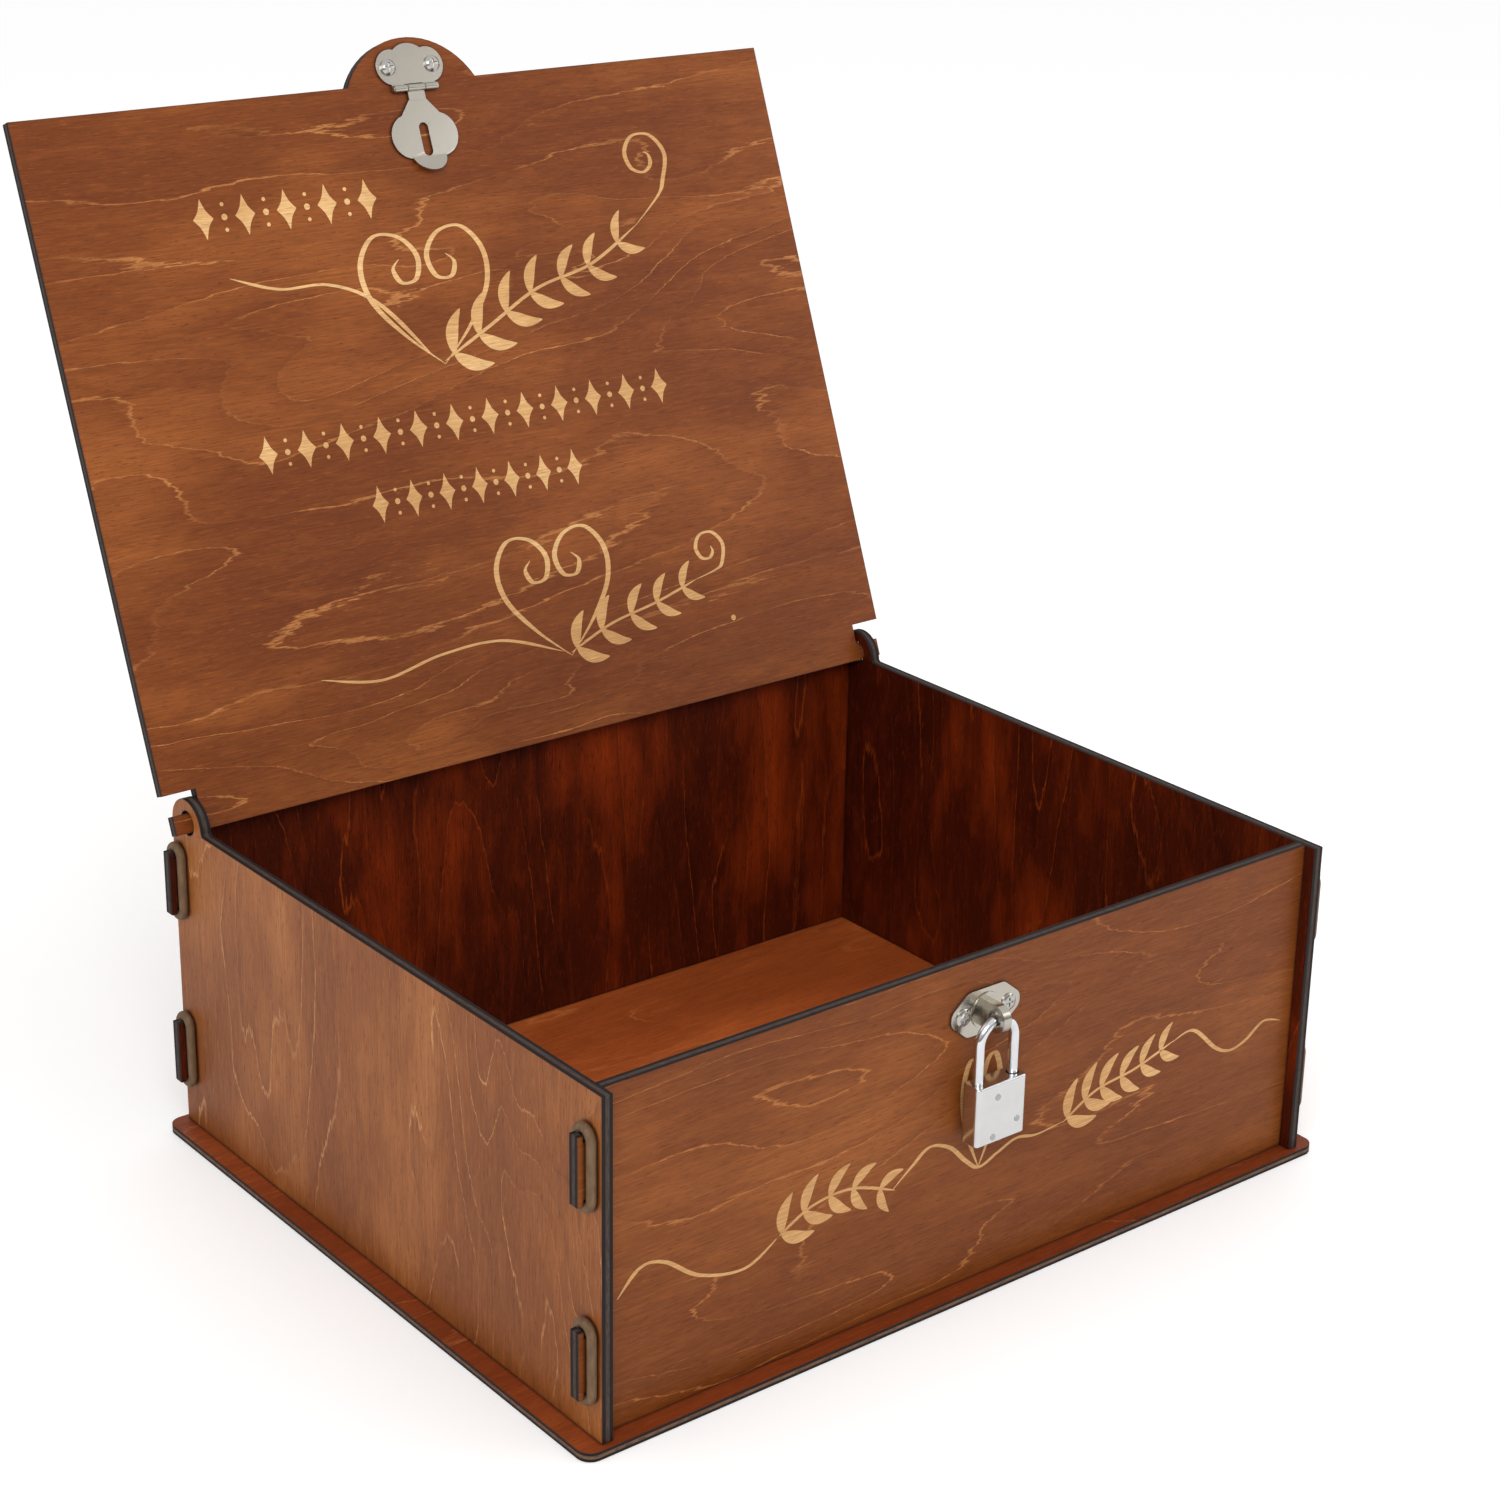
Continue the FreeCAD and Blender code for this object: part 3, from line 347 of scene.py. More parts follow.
def plywood(name, along, outward, middle, half, seed, outer, inner, figure=1.0,
            core=(74, 62, 56), apron=None):
    """Stained plywood; outer and inner are (light, middle, dark, line) mixes."""
    material, tree, shader = new_material(name)
    place = in_sheet(tree, along, outward, middle)
    looks = []
    for number, tones in enumerate((inner, outer)):
        ins = {"Place": place, "Light": tint(*tones[0]), "Middle": tint(*tones[1]),
               "Dark": tint(*tones[2]), "Line": tint(*tones[3]), "Figure": figure,
               "Seed": seed + INNER_TO_OUTER_SEED * number}
        looks.append(place_group(tree, veneer, ins))
    spot = put(tree, "ShaderNodeSeparateXYZ", {0: place}).outputs
    side = calc(tree, "GREATER_THAN", spot[2], 0.0)
    if apron:
        past = [calc(tree, "GREATER_THAN", calc(tree, "ABSOLUTE", spot[k]), apron[k]) for k in (0, 1)]
        outside = calc(tree, "MAXIMUM", past[0], past[1])
        side = calc(tree, "MULTIPLY", side, calc(tree, "SUBTRACT", 1.0, outside))
    colour = blend(tree, side, looks[0]["Colour"], looks[1]["Colour"])
    cut = place_group(tree, burnt, {"Place": place, "Half": half, "Core": tint(*core)})
    colour = blend(tree, calc(tree, "MULTIPLY", cut["Smoke"], SMOKE_STRENGTH), colour, SMOKE)
    colour = blend(tree, cut["Edge"], colour, cut["Colour"])
    # Painted shade: the colour darkens where the Ambient Occlusion node finds another part within reach.
    ins = {"Distance": JOINT_SHADE_REACH}
    open_air = put(tree, "ShaderNodeAmbientOcclusion", ins, samples=4).outputs["AO"]
    colour = blend(tree, spread(tree, open_air, 0.5, 0.92, JOINT_SHADE_STRENGTH, 0.0), colour, JOINT_SHADE)
    tree.links.new(colour, shader.inputs["Base Color"])
    rough = calc(tree, "MULTIPLY_ADD", cut["Edge"], 0.22, looks[1]["Roughness"])
    tree.links.new(rough, shader.inputs["Roughness"])
    shader.inputs["Specular IOR Level"].default_value = 0.2
    relief = calc(tree, "ADD", looks[1]["Height"], cut["Height"])
    bump = put(tree, "ShaderNodeBump", {"Height": relief, "Strength": 0.22, "Distance": 0.00012})
    tree.links.new(bump.outputs[0], shader.inputs["Normal"])
    return material


# %% [markdown]
# ## Where each sheet lies
#
# The middle of every sheet comes from the frame, so the burnt edge mask fits
# whatever thickness the panel was cut from. The lid's lean is worked out from
# its hinge: to shut, it turns through a right angle and the lean, and it
# stops a little short of that.

# %% Panel placing
def middle_of_sheet(name, axis):
    """Middle and half thickness of an upright or flat sheet, in one axis."""
    low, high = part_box(name)
    return (low[axis] + high[axis]) / 2, (high[axis] - low[axis]) / 2 * MM


pivot = Vector(joints["lid_hinge"]["pos_m"])
shut_range = math.radians(joints["lid_hinge"]["range_deg"][1])
shut_short = math.radians(0.4)
lean = shut_range + shut_short - math.pi / 2
up_lid = Vector((0.0, math.sin(lean), math.cos(lean)))
into_lid = Vector((0.0, -math.cos(lean), math.sin(lean)))
wall_half = middle_of_sheet("left_side_panel", 0)[1] / MM
print("lean", round(math.degrees(lean), 3), "wall half", wall_half)

# %% Panel materials
# Each mix is the light, the middle, the dark and the ring line.
LID_BROWN = ((160, 90, 38), (132, 69, 23), (100, 43, 11), (194, 128, 70))
RED_BROWN = ((150, 86, 36), (127, 67, 22), (98, 45, 11), (184, 116, 60))
# The side panels get a paler mix than the front and back: painted light, for the light that washes over the
# sides.
SIDE_BROWN_LIT = ((174, 109, 57), (148, 85, 38), (108, 55, 22), (204, 146, 94))
# The inner faces of the walls get a much darker, redder mix: painted shade for the deep well of the box.
WELL_SHADE_BROWN = ((150, 54, 10), (88, 25, 2), (28, 5, 1), (150, 64, 18))
FLOOR_BROWN = ((196, 102, 46), (174, 84, 35), (128, 56, 22), (210, 126, 68))
FLANGE_BROWN = ((158, 78, 38), (136, 61, 24), (100, 40, 14), (176, 104, 60))
PALE_CORE = (120, 92, 72)

front_y, _ = middle_of_sheet("front_panel", 1)
back_y, _ = middle_of_sheet("back_panel", 1)
left_x, _ = middle_of_sheet("left_side_panel", 0)
right_x, _ = middle_of_sheet("right_side_panel", 0)
base_z, base_half = middle_of_sheet("base_panel", 2)
half = wall_half * MM
walls_from_middle = (abs(left_x) * MM, abs(front_y) * MM)

X, Y, Z = Vector((1, 0, 0)), Vector((0, 1, 0)), Vector((0, 0, 1))
panel_looks = {
    "base_panel": plywood("ply_base", X, Z, (0, 0, base_z), base_half, 3.1, FLOOR_BROWN, FLANGE_BROWN,
                          figure=0.7, core=PALE_CORE, apron=walls_from_middle),
    "front_panel": plywood("ply_front", X, -Y, (0, front_y, 0), half, 11.7, RED_BROWN, WELL_SHADE_BROWN),
    "back_panel": plywood("ply_back", Z, Y, (0, back_y, 0), half, 21.9, RED_BROWN, WELL_SHADE_BROWN),
    "left_side_panel": plywood("ply_left", Z, -X, (left_x, 0, 0), half, 33.4, SIDE_BROWN_LIT, WELL_SHADE_BROWN),
    "right_side_panel": plywood("ply_right", Z, X, (right_x, 0, 0), half, 45.2, SIDE_BROWN_LIT, WELL_SHADE_BROWN),
    "lid_panel": plywood("ply_lid", X, -into_lid, pivot, half, 57.6, LID_BROWN, LID_BROWN, figure=1.1),
}
print("panel looks", sorted(panel_looks))

# %% [markdown]
# ## Metals
#
# The hasp and the staple are nickel-plated sheet with a satin brushing, the
# padlock is polished chrome, and the key plug is brass. What they share is
# use: faint scratches and small cloudy smears in the polish. One group gives
# both, and each metal sets how strong they are. The scratches are three sets
# of thin lines laid across each other at odd angles.

# %% Handled metal group
handled, given, gives = new_group(
    "handled_metal",
    [("Place", "Vector", None), ("Brush", "Float", 1.0), ("Smear", "Float", 1.0)],
    [("Height", "Float"), ("Rough", "Float"), ("Dull", "Float")],
)
brush = stretched(handled, given["Place"], (0.3, 7.0, 7.0), Detail=3.0, Roughness=0.55)
marks = []
for angle, size in ((0.55, 2.1), (-0.9, 1.6), (1.35, 1.2)):
    turned = put(handled, "ShaderNodeVectorRotate", {"Vector": given["Place"], "Angle": angle},
                 rotation_type="Y_AXIS").outputs[0]
    scar = stretched(handled, turned, (0.12 * size, 7.0, 9.0 * size), Detail=1.0, Roughness=0.4)
    marks.append(spread(handled, scar, 0.78, 0.84))
scars = calc(handled, "MAXIMUM", calc(handled, "MAXIMUM", marks[0], marks[1]), marks[2])
smear = stretched(handled, given["Place"], (0.18, 0.18, 0.24), Detail=3.0, Roughness=0.6)
smear = calc(handled, "MULTIPLY", spread(handled, smear, 0.4, 0.7), given["Smear"])
lines = calc(handled, "MULTIPLY", brush, given["Brush"])
handled.links.new(calc(handled, "MULTIPLY_ADD", scars, -0.15, lines), gives["Height"])
handled.links.new(calc(handled, "MULTIPLY_ADD", scars, 0.35, smear), gives["Rough"])
handled.links.new(smear, gives["Dull"])
print("handled metal nodes", len(handled.nodes))


# %% Metal material
def metal(name, bright, dull, rough, brush, smear, deep=0.00003):
    """Metal with brushing, smears and scratches."""
    material, tree, shader = new_material(name)
    where = put(tree, "ShaderNodeTexCoord").outputs["Object"]
    place = put(tree, "ShaderNodeVectorMath", {0: where, 3: MM}, operation="SCALE").outputs[0]
    use = place_group(tree, handled, {"Place": place, "Brush": brush, "Smear": smear})
    colour = blend(tree, calc(tree, "MULTIPLY", use["Dull"], 0.45), tint(*bright), tint(*dull))
    tree.links.new(colour, shader.inputs["Base Color"])
    grade = calc(tree, "MULTIPLY_ADD", use["Rough"], 0.16, rough)
    tree.links.new(grade, shader.inputs["Roughness"])
    shader.inputs["Metallic"].default_value = 1.0
    bump = put(tree, "ShaderNodeBump", {"Height": use["Height"], "Strength": 0.5, "Distance": deep})
    tree.links.new(bump.outputs[0], shader.inputs["Normal"])
    return material


nickel = metal("nickel_satin", (186, 180, 169), (160, 153, 141), 0.17, 0.25, 0.3)
nickel_screw = metal("nickel_screw", (190, 187, 182), (140, 136, 130), 0.17, 0.15, 0.5)
chrome = metal("chrome_body", (216, 216, 216), (190, 190, 190), 0.13, 0.15, 0.4)
chrome_wire = metal("chrome_wire", (222, 223, 226), (180, 181, 184), 0.1, 0.12, 0.5)
rivet_steel = metal("rivet_steel", (186, 186, 188), (138, 138, 140), 0.3, 0.2, 1.0)
brass = metal("brass_plug", (196, 160, 92), (140, 108, 56), 0.3, 0.6, 1.0)
dog_steel = metal("plain_steel", (150, 150, 150), (104, 104, 104), 0.4, 0.6, 1.0)
print("metals", [made.name for made in (nickel, nickel_screw, chrome, chrome_wire, rivet_steel, brass,
                                        dog_steel)])

# %% [markdown]
# ## Rubber
#
# The loops that hold the tabs are tan rubber bands of round section. Rubber
# is matt, a touch paler where it is stretched and dusty, and has a fine
# moulded grain, so slow mottling and a small bump are enough.

# %% Rubber material
def rubber(name, fresh, dusty):
    """Matt rubber with mottling and dust."""
    material, tree, shader = new_material(name)
    where = put(tree, "ShaderNodeTexCoord").outputs["Object"]
    place = put(tree, "ShaderNodeVectorMath", {0: where, 3: MM}, operation="SCALE").outputs[0]
    mottle = stretched(tree, place, (0.6, 0.6, 0.2), Detail=3.0, Roughness=0.6)
    grain = stretched(tree, place, (6.0, 6.0, 4.0), Detail=4.0, Roughness=0.7)
    colour = blend(tree, spread(tree, mottle, 0.35, 0.68), tint(*fresh), tint(*dusty))
    tree.links.new(colour, shader.inputs["Base Color"])
    tree.links.new(calc(tree, "MULTIPLY_ADD", grain, 0.2, 0.5), shader.inputs["Roughness"])
    shader.inputs["Specular IOR Level"].default_value = 0.3
    bump = put(tree, "ShaderNodeBump", {"Height": grain, "Strength": 0.3, "Distance": 0.00008})
    tree.links.new(bump.outputs[0], shader.inputs["Normal"])
    return material


tan_rubber = rubber("tan_rubber", (97, 73, 51), (118, 93, 67))
print("rubber", tan_rubber.name)

# %% [markdown]
# ## Dressing the frame
#
# The frame's own pieces already have the right shape, so they stay, and get
# their finish and a slightly broken edge. Real edges are never razor sharp,
# and a thin bevel catches the light. A Weld goes first, because the loaded
# meshes are split at every crease and a bevel can't cross a split. Weighted
# normals go last, so that large flat faces stay flat in the light.

# %% Finish the nodes
WELD_GAP = 0.000004


def soften(piece, width, segments=2, angle=32.0):
    """Weld the seams and break the sharp edges."""
    weld = piece.modifiers.new("weld", "WELD")
    weld.merge_threshold = WELD_GAP
    bevel = piece.modifiers.new("broken_edge", "BEVEL")
    bevel.width = width
    bevel.segments = segments
    bevel.limit_method = "ANGLE"
    bevel.angle_limit = math.radians(angle)
    bevel.use_clamp_overlap = True
    even = piece.modifiers.new("even_shading", "WEIGHTED_NORMAL")
    even.keep_sharp = True


def dress(name, material, edge):
    """Give a node its finish and its broken edges."""
    piece = nodes[name]
    piece.data.materials.clear()
    piece.data.materials.append(material)
    if edge:
        soften(piece, edge)


PANEL_EDGE, PLATE_EDGE, CASE_EDGE = 0.00018, 0.00015, 0.0002
HASP_SCREW_EDGE, SMALL_EDGE = 0.00012, 0.0001

for name, material in panel_looks.items():
    dress(name, material, PANEL_EDGE)
for name in nodes:
    if name.startswith("loop_"):
        dress(name, tan_rubber, 0)
    elif name.startswith("padlock_rivet_"):
        dress(name, rivet_steel, 0)
for name, material, edge in (
    ("hasp_leaf", nickel, PLATE_EDGE), ("hasp_flap", nickel, PLATE_EDGE),
    ("hasp_pin", nickel_screw, SMALL_EDGE), ("hasp_screw_left", nickel_screw, HASP_SCREW_EDGE),
    ("hasp_screw_right", nickel_screw, HASP_SCREW_EDGE), ("staple", nickel, PLATE_EDGE),
    ("staple_screw_left", nickel_screw, SMALL_EDGE), ("staple_screw_right", nickel_screw, SMALL_EDGE),
    ("padlock_body", chrome, CASE_EDGE), ("padlock_shackle", chrome_wire, SMALL_EDGE),
    ("padlock_plug", brass, SMALL_EDGE), ("padlock_dog", dog_steel, SMALL_EDGE),
):
    dress(name, material, edge)
print("dressed", sum(1 for piece in nodes.values() if piece.data.materials))

# %% [markdown]
# ## Drawing engraved lines
#
# An engraver's laser takes the stain off and leaves bare gold wood in its
# track. The ornament here is flowing tendrils, leaves and small lozenges. A
# stroke is a centre line with a width that swells and thins as a pen does. It
# could be a curve with a bevel, but a strip built point by point gives a
# closed mesh and full say over the width. Each stroke sits a hair above the
# face, too thin to show an edge.

# %% Stroke helpers
THINNEST = 0.04
TAPER_RATE, BLUNT_TIP = 6.0, 0.12


def through(knots, steps=10, closed=False):
    """Smooth line through the knots."""
    count = len(knots)
    line = []
    for i in range(count if closed else count - 1):
        if closed:
            a, b, c, d = (knots[(i + k) % count] for k in (-1, 0, 1, 2))
        else:
            a, b = knots[max(i - 1, 0)], knots[i]
            c, d = knots[i + 1], knots[min(i + 2, count - 1)]
        for step in range(steps):
            t = step / steps
            line.append(tuple(
                0.5 * (2 * b[k] + (c[k] - a[k]) * t + (2 * a[k] - 5 * b[k] + 4 * c[k] - d[k]) * t * t
                       + (3 * b[k] - a[k] - 3 * c[k] + d[k]) * t ** 3) for k in (0, 1)))
    if not closed:
        line.append(tuple(knots[-1][:2]))
    return line


def sides(line, width, closed=False):
    """Left and right edge of a stroke; width is a function of 0 to 1 and slope."""
    left, right = [], []
    count = len(line)
    for i, (x, y) in enumerate(line):
        before = line[i - 1] if closed or i else line[0]
        after = line[(i + 1) % count] if closed or i < count - 1 else line[-1]
        dx, dy = after[0] - before[0], after[1] - before[1]
        size = math.hypot(dx, dy) or 1.0
        dx, dy = dx / size, dy / size
        half_wide = max(width(i / (count - 1), dy), THINNEST) / 2
        left.append((x - dy * half_wide, y + dx * half_wide))
        right.append((x + dy * half_wide, y - dx * half_wide))
    return left, right


def pen(thin, thick):
    """Width that swells on steep parts and tapers at both ends."""
    def width(along, slope):
        start = TAPER_RATE * along + BLUNT_TIP
        end = TAPER_RATE * (1.0 - along) + BLUNT_TIP
        return (thin + (thick - thin) * abs(slope) ** 1.5) * min(1.0, start, end)
    return width


def leaf_shape(wide):
    """Width of a leaf from stalk to tip."""
    return lambda along, slope: wide * math.sin(math.pi * min(along, 1.0) ** 0.8) ** 0.9


# %% [markdown]
# ## From strokes to a closed piece
#
# All strokes of one ornament go into one mesh, each as its own closed
# island with a top, a bottom and walls. The faces are laid out flat, in
# millimetres, and a small function carries them onto the panel. Each stroke
# is a little higher than the last, over a dozen levels, so crossings don't
# flicker.

# %% Ornament helpers
SUNK, PROUD, EACH = -0.02, 0.035, 0.0006
LEVELS = 12


def front_face_spot(a, b, off):
    """Point on the front panel's outer face; a across, b up."""
    return Vector((a / MM, front_y - wall_half - off / MM, b / MM))


def lid_inside_spot(a, b, off):
    """Point on the lid's inner face; a across, b from the hinge line."""
    return pivot + X * (a / MM) + up_lid * (b / MM) + into_lid * (wall_half + off / MM)


def lid_outside_spot(a, b, off):
    """Point on the lid's outer face; a across, b from the hinge line."""
    return pivot + X * (a / MM) + up_lid * (b / MM) - into_lid * (wall_half + off / MM)


def add_strip(mesh, spot, left, right, number, closed=False):
    """One closed island from the two edges of a stroke."""
    top = PROUD + EACH * number
    rows = []
    for a, b in zip(left, right):
        rows.append([mesh.verts.new(spot(*a, top)), mesh.verts.new(spot(*b, top)),
                     mesh.verts.new(spot(*b, SUNK)), mesh.verts.new(spot(*a, SUNK))])
    pairs = list(zip(rows, rows[1:])) + ([(rows[-1], rows[0])] if closed else [])
    for one, two in pairs:
        for k in range(4):
            mesh.faces.new((one[k], two[k], two[(k + 1) % 4], one[(k + 1) % 4]))
    if not closed:
        mesh.faces.new(rows[0])
        mesh.faces.new(rows[-1][::-1])


def add_patch(mesh, spot, outline, number):
    """One closed island from the outline of a filled shape."""
    top = [mesh.verts.new(spot(*p, PROUD + EACH * number)) for p in outline]
    low = [mesh.verts.new(spot(*p, SUNK)) for p in outline]
    mesh.faces.new(top)
    mesh.faces.new(low[::-1])
    for i in range(len(outline)):
        j = (i + 1) % len(outline)
        mesh.faces.new((top[i], low[i], low[j], top[j]))


def ornament(name, spot, strips, patches, body, material):
    """Named piece made of strokes and filled shapes."""
    mesh = bmesh.new()
    number = 0
    for left, right, closed in strips:
        add_strip(mesh, spot, left, right, number % LEVELS, closed)
        number += 1
    for outline in patches:
        add_patch(mesh, spot, outline, number % LEVELS)
        number += 1
    bmesh.ops.recalc_face_normals(mesh, faces=mesh.faces)
    data = bpy.data.meshes.new(name)
    mesh.to_mesh(data)
    mesh.free()
    piece = bpy.data.objects.new(name, data)
    bpy.context.scene.collection.objects.link(piece)
    data.materials.append(material)
    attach(piece, body)
    print(name, "islands", number, "faces", len(data.polygons))
    return piece


# %% [markdown]
# ## Bare gold wood
#
# Where the stain is gone the wood is a warm straw colour, with the same
# fibres and a toasted tone here and there. The veneer group already knows how
# to draw that, so it is reused with three paler tones. The lid's tones are a
# shade lighter than the front's, as painted light for the lid that faces up
# into the light.

# %% Engraved wood material
def bare_wood(name, along, outward, middle, seed, tones):
    """Engraved veneer, paler than the stained face."""
    material, tree, shader = new_material(name)
    place = in_sheet(tree, along, outward, middle)
    ins = {"Place": place, "Light": tint(*tones[0]), "Middle": tint(*tones[1]),
           "Dark": tint(*tones[2]), "Line": tint(*tones[0]), "Figure": 0.5, "Seed": seed}
    look = place_group(tree, veneer, ins)
    tree.links.new(look["Colour"], shader.inputs["Base Color"])
    rough = calc(tree, "MULTIPLY_ADD", look["Roughness"], 0.5, 0.4)
    tree.links.new(rough, shader.inputs["Roughness"])
    shader.inputs["Specular IOR Level"].default_value = 0.25
    bump = put(tree, "ShaderNodeBump", {"Height": look["Height"], "Strength": 0.35, "Distance": 0.0001})
    tree.links.new(bump.outputs[0], shader.inputs["Normal"])
    return material


# Each mix is the light, the middle and the dark.
FRONT_GOLD = ((222, 178, 122), (206, 158, 102), (170, 120, 72))
# The lid's mix is paler than the front's as painted light, for the light that falls on the upturned lid.
LID_GOLD_LIT = ((238, 196, 138), (222, 174, 114), (184, 132, 80))
gold_front = bare_wood("engraved_front", X, -Y, (0, front_y, 0), 11.7, FRONT_GOLD)
gold_lid = bare_wood("engraved_lid", X, -into_lid, pivot, 57.6, LID_GOLD_LIT)
print("engraved wood", gold_front.name, gold_lid.name)

# %% [markdown]
# ## Leaves, sprigs and lozenges
#
# A sprig is a stem with leaves set off it to either side. Each leaf is a
# short curved stroke that swells in the middle, so the stroke helpers draw it
# too. A lozenge with drawn-in sides and a round dot make the border rows.

# %% Sprig and border helpers
def stroke(knots, thin, thick, steps=10):
    """Pen stroke through the knots."""
    return (*sides(through(knots, steps), pen(thin, thick)), False)


def leaf(root, angle, long, wide, bend=0.18):
    """Filled leaf from its stalk."""
    way = math.radians(angle)
    ux, uy = math.cos(way), math.sin(way)
    knots = [(root[0] + ux * long * t - uy * long * bend * math.sin(math.pi * t),
              root[1] + uy * long * t + ux * long * bend * math.sin(math.pi * t))
             for t in (0.0, 0.25, 0.5, 0.75, 1.0)]
    return (*sides(through(knots, 5), leaf_shape(wide)), False)


def curl(cx, cy, wide, narrow, start, turns, steps=7):
    """Knots of a spiral that winds inwards; turns may be negative."""
    count = max(int(abs(turns) * steps), 3)
    knots = []
    for i in range(count + 1):
        t = i / count
        angle = math.radians(start) + 2 * math.pi * turns * t
        radius = wide + (narrow - wide) * t
        knots.append((cx + radius * math.cos(angle), cy + radius * math.sin(angle)))
    return knots


def heart(cx, low, wide, tall):
    """Two mirrored scrolls that meet in a point."""
    half_shape = [(0.0, 0.0), (0.26, 0.24), (0.47, 0.52), (0.5, 0.78), (0.36, 0.97), (0.16, 0.95),
                  (0.04, 0.8), (0.08, 0.64), (0.2, 0.62), (0.25, 0.72), (0.19, 0.79)]
    strips = []
    for way in (1, -1):
        knots = [(cx + way * a * wide, low + b * tall) for a, b in half_shape]
        strips.append(stroke(knots, 1.0, 2.2, 8))
    return strips


def ring(cx, cy, radius, count=20):
    """Outline of a round dot."""
    return [(cx + radius * math.cos(2 * math.pi * i / count),
             cy + radius * math.sin(2 * math.pi * i / count)) for i in range(count)]


def lozenge(cx, cy, wide, tall, pinch=0.2):
    """Outline of a lozenge with drawn-in sides."""
    tips = [(wide, 0.0), (0.0, tall), (-wide, 0.0), (0.0, -tall)]
    outline = []
    for k in range(4):
        (x1, y1), (x2, y2) = tips[k], tips[(k + 1) % 4]
        for t in (0.0, 0.25, 0.5, 0.75):
            pull = 1.0 - pinch * math.sin(math.pi * t)
            outline.append((cx + (x1 + (x2 - x1) * t) * pull, cy + (y1 + (y2 - y1) * t) * pull))
    return outline


def border(start, end, low, high, count):
    """Row of lozenges with dots between them."""
    patches = []
    mid, tall = (low + high) / 2, (high - low) / 2
    pitch = (end - start) / count
    for i in range(count):
        at = start + pitch * (i + 0.5)
        patches.append(lozenge(at, mid, pitch * 0.24, tall))
        if i < count - 1:
            patches.append(ring(at + pitch / 2, mid, tall * 0.16))
            patches.append(ring(at + pitch / 2, mid + tall * 0.62, tall * 0.1))
            patches.append(ring(at + pitch / 2, mid - tall * 0.62, tall * 0.1))
    return patches


# %% [markdown]
# ## Ornament on the front
#
# One long tendril crosses the whole front at half height. It dips behind the
# padlock, where a tall scrolled heart shows through the shackle. It opens
# into a laurel sprig on either side of the lock, and runs out to both ends in
# a thin swash. The leaves stand in pairs, as on real laurel, and shrink
# towards the tip.

# %% Front ornament
LEAF_SPREAD = 44
FIRST_LEAF, LEAF_RUN = 0.08, 0.82


def laurel(knots, pairs, size, wide, thin=0.9, thick=1.5):
    """Stem with leaves in pairs that shrink towards the tip."""
    stem = through(knots, 14)
    strips = [(*sides(stem, pen(thin, thick)), False)]
    for k in range(pairs):
        i = int((FIRST_LEAF + LEAF_RUN * k / max(pairs - 1, 1)) * (len(stem) - 2))
        (x1, y1), (x2, y2) = stem[i], stem[i + 1]
        heading = math.degrees(math.atan2(y2 - y1, x2 - x1))
        shrink = 1.0 - 0.3 * k / pairs
        for way in (1, -1):
            strips.append(leaf((x1, y1), heading + way * LEAF_SPREAD, size * shrink, wide * shrink,
                               0.12 * way))
    return strips


left_swash = [(-141.5, 46.7), (-133.2, 54.4), (-124.1, 53.1), (-111.0, 43.9), (-93.9, 40.1), (-80.6, 46.8)]
ornament("front_swash_left", front_face_spot, [stroke(left_swash, 0.9, 1.9)], [], "box", gold_front)
left_stem = [(-82.0, 46.0), (-68.0, 52.5), (-52.0, 53.0), (-34.5, 46.5)]
ornament("front_sprig_left", front_face_spot, laurel(left_stem, 5, 13.5, 4.4), [], "box", gold_front)

middle_swash = [(-35.5, 47.0), (-28.0, 52.5), (-20.6, 57.0), (-12.0, 54.0), (-5.0, 47.0), (1.0, 42.8),
                (9.0, 45.5), (17.0, 48.0), (26.0, 46.4), (38.5, 47.3)]
ornament("front_swash_middle", front_face_spot, [stroke(middle_swash, 0.9, 1.9)], [], "box", gold_front)
ornament("front_heart", front_face_spot, heart(0.6, 43.0, 15.5, 40.0), [], "box", gold_front)

right_stem = [(37.5, 46.8), (52.0, 54.0), (70.0, 56.5), (88.0, 61.5)]
ornament("front_sprig_right", front_face_spot, laurel(right_stem, 6, 14.0, 4.5), [], "box", gold_front)
right_swash = [(87.0, 61.0), (97.0, 62.5), (108.6, 52.5), (116.0, 49.3), (123.5, 50.8), (132.0, 55.5),
               (140.8, 53.3)]
ornament("front_swash_right", front_face_spot, [stroke(right_swash, 0.9, 1.9)], [], "box", gold_front)

# %% [markdown]
# ## Ornament inside the lid
#
# Three short border rows and two large free pieces fill the inside of the
# lid. Each free piece starts in a long thin swash, carries a scrolled heart,
# and runs on as a laurel sprig that ends in a spiral tendril.

# %% Lid inside ornament
for name, row in (("lid_border_upper", (-103.0, -21.0, 193.0, 207.5, 5)),
                  ("lid_border_middle", (-98.0, 86.0, 110.0, 123.5, 12)),
                  ("lid_border_lower", (-58.0, 40.0, 86.0, 99.5, 7))):
    ornament(name, lid_inside_spot, [], border(*row), "lid", gold_lid)

upper_swash = [(-90.0, 179.0), (-72.0, 173.0), (-52.0, 172.0), (-34.0, 163.0), (-16.0, 141.0)]
ornament("lid_swash_upper", lid_inside_spot, [stroke(upper_swash, 0.9, 2.0, 12)], [], "lid", gold_lid)
ornament("lid_heart_upper", lid_inside_spot, heart(-12.0, 138.0, 52.0, 50.0), [], "lid", gold_lid)
upper_stem = [(-12.0, 139.0), (10.0, 149.0), (34.0, 160.0), (60.0, 166.0), (84.0, 178.0)]
upper_curl = [(84.0, 178.0), (97.0, 188.0)] + curl(93.0, 203.0, 12.0, 2.5, -50, 1.3)
ornament("lid_sprig_upper", lid_inside_spot,
         laurel(upper_stem, 7, 17.0, 5.2, 1.0, 1.8) + [stroke(upper_curl, 0.9, 1.9, 8)], [], "lid", gold_lid)

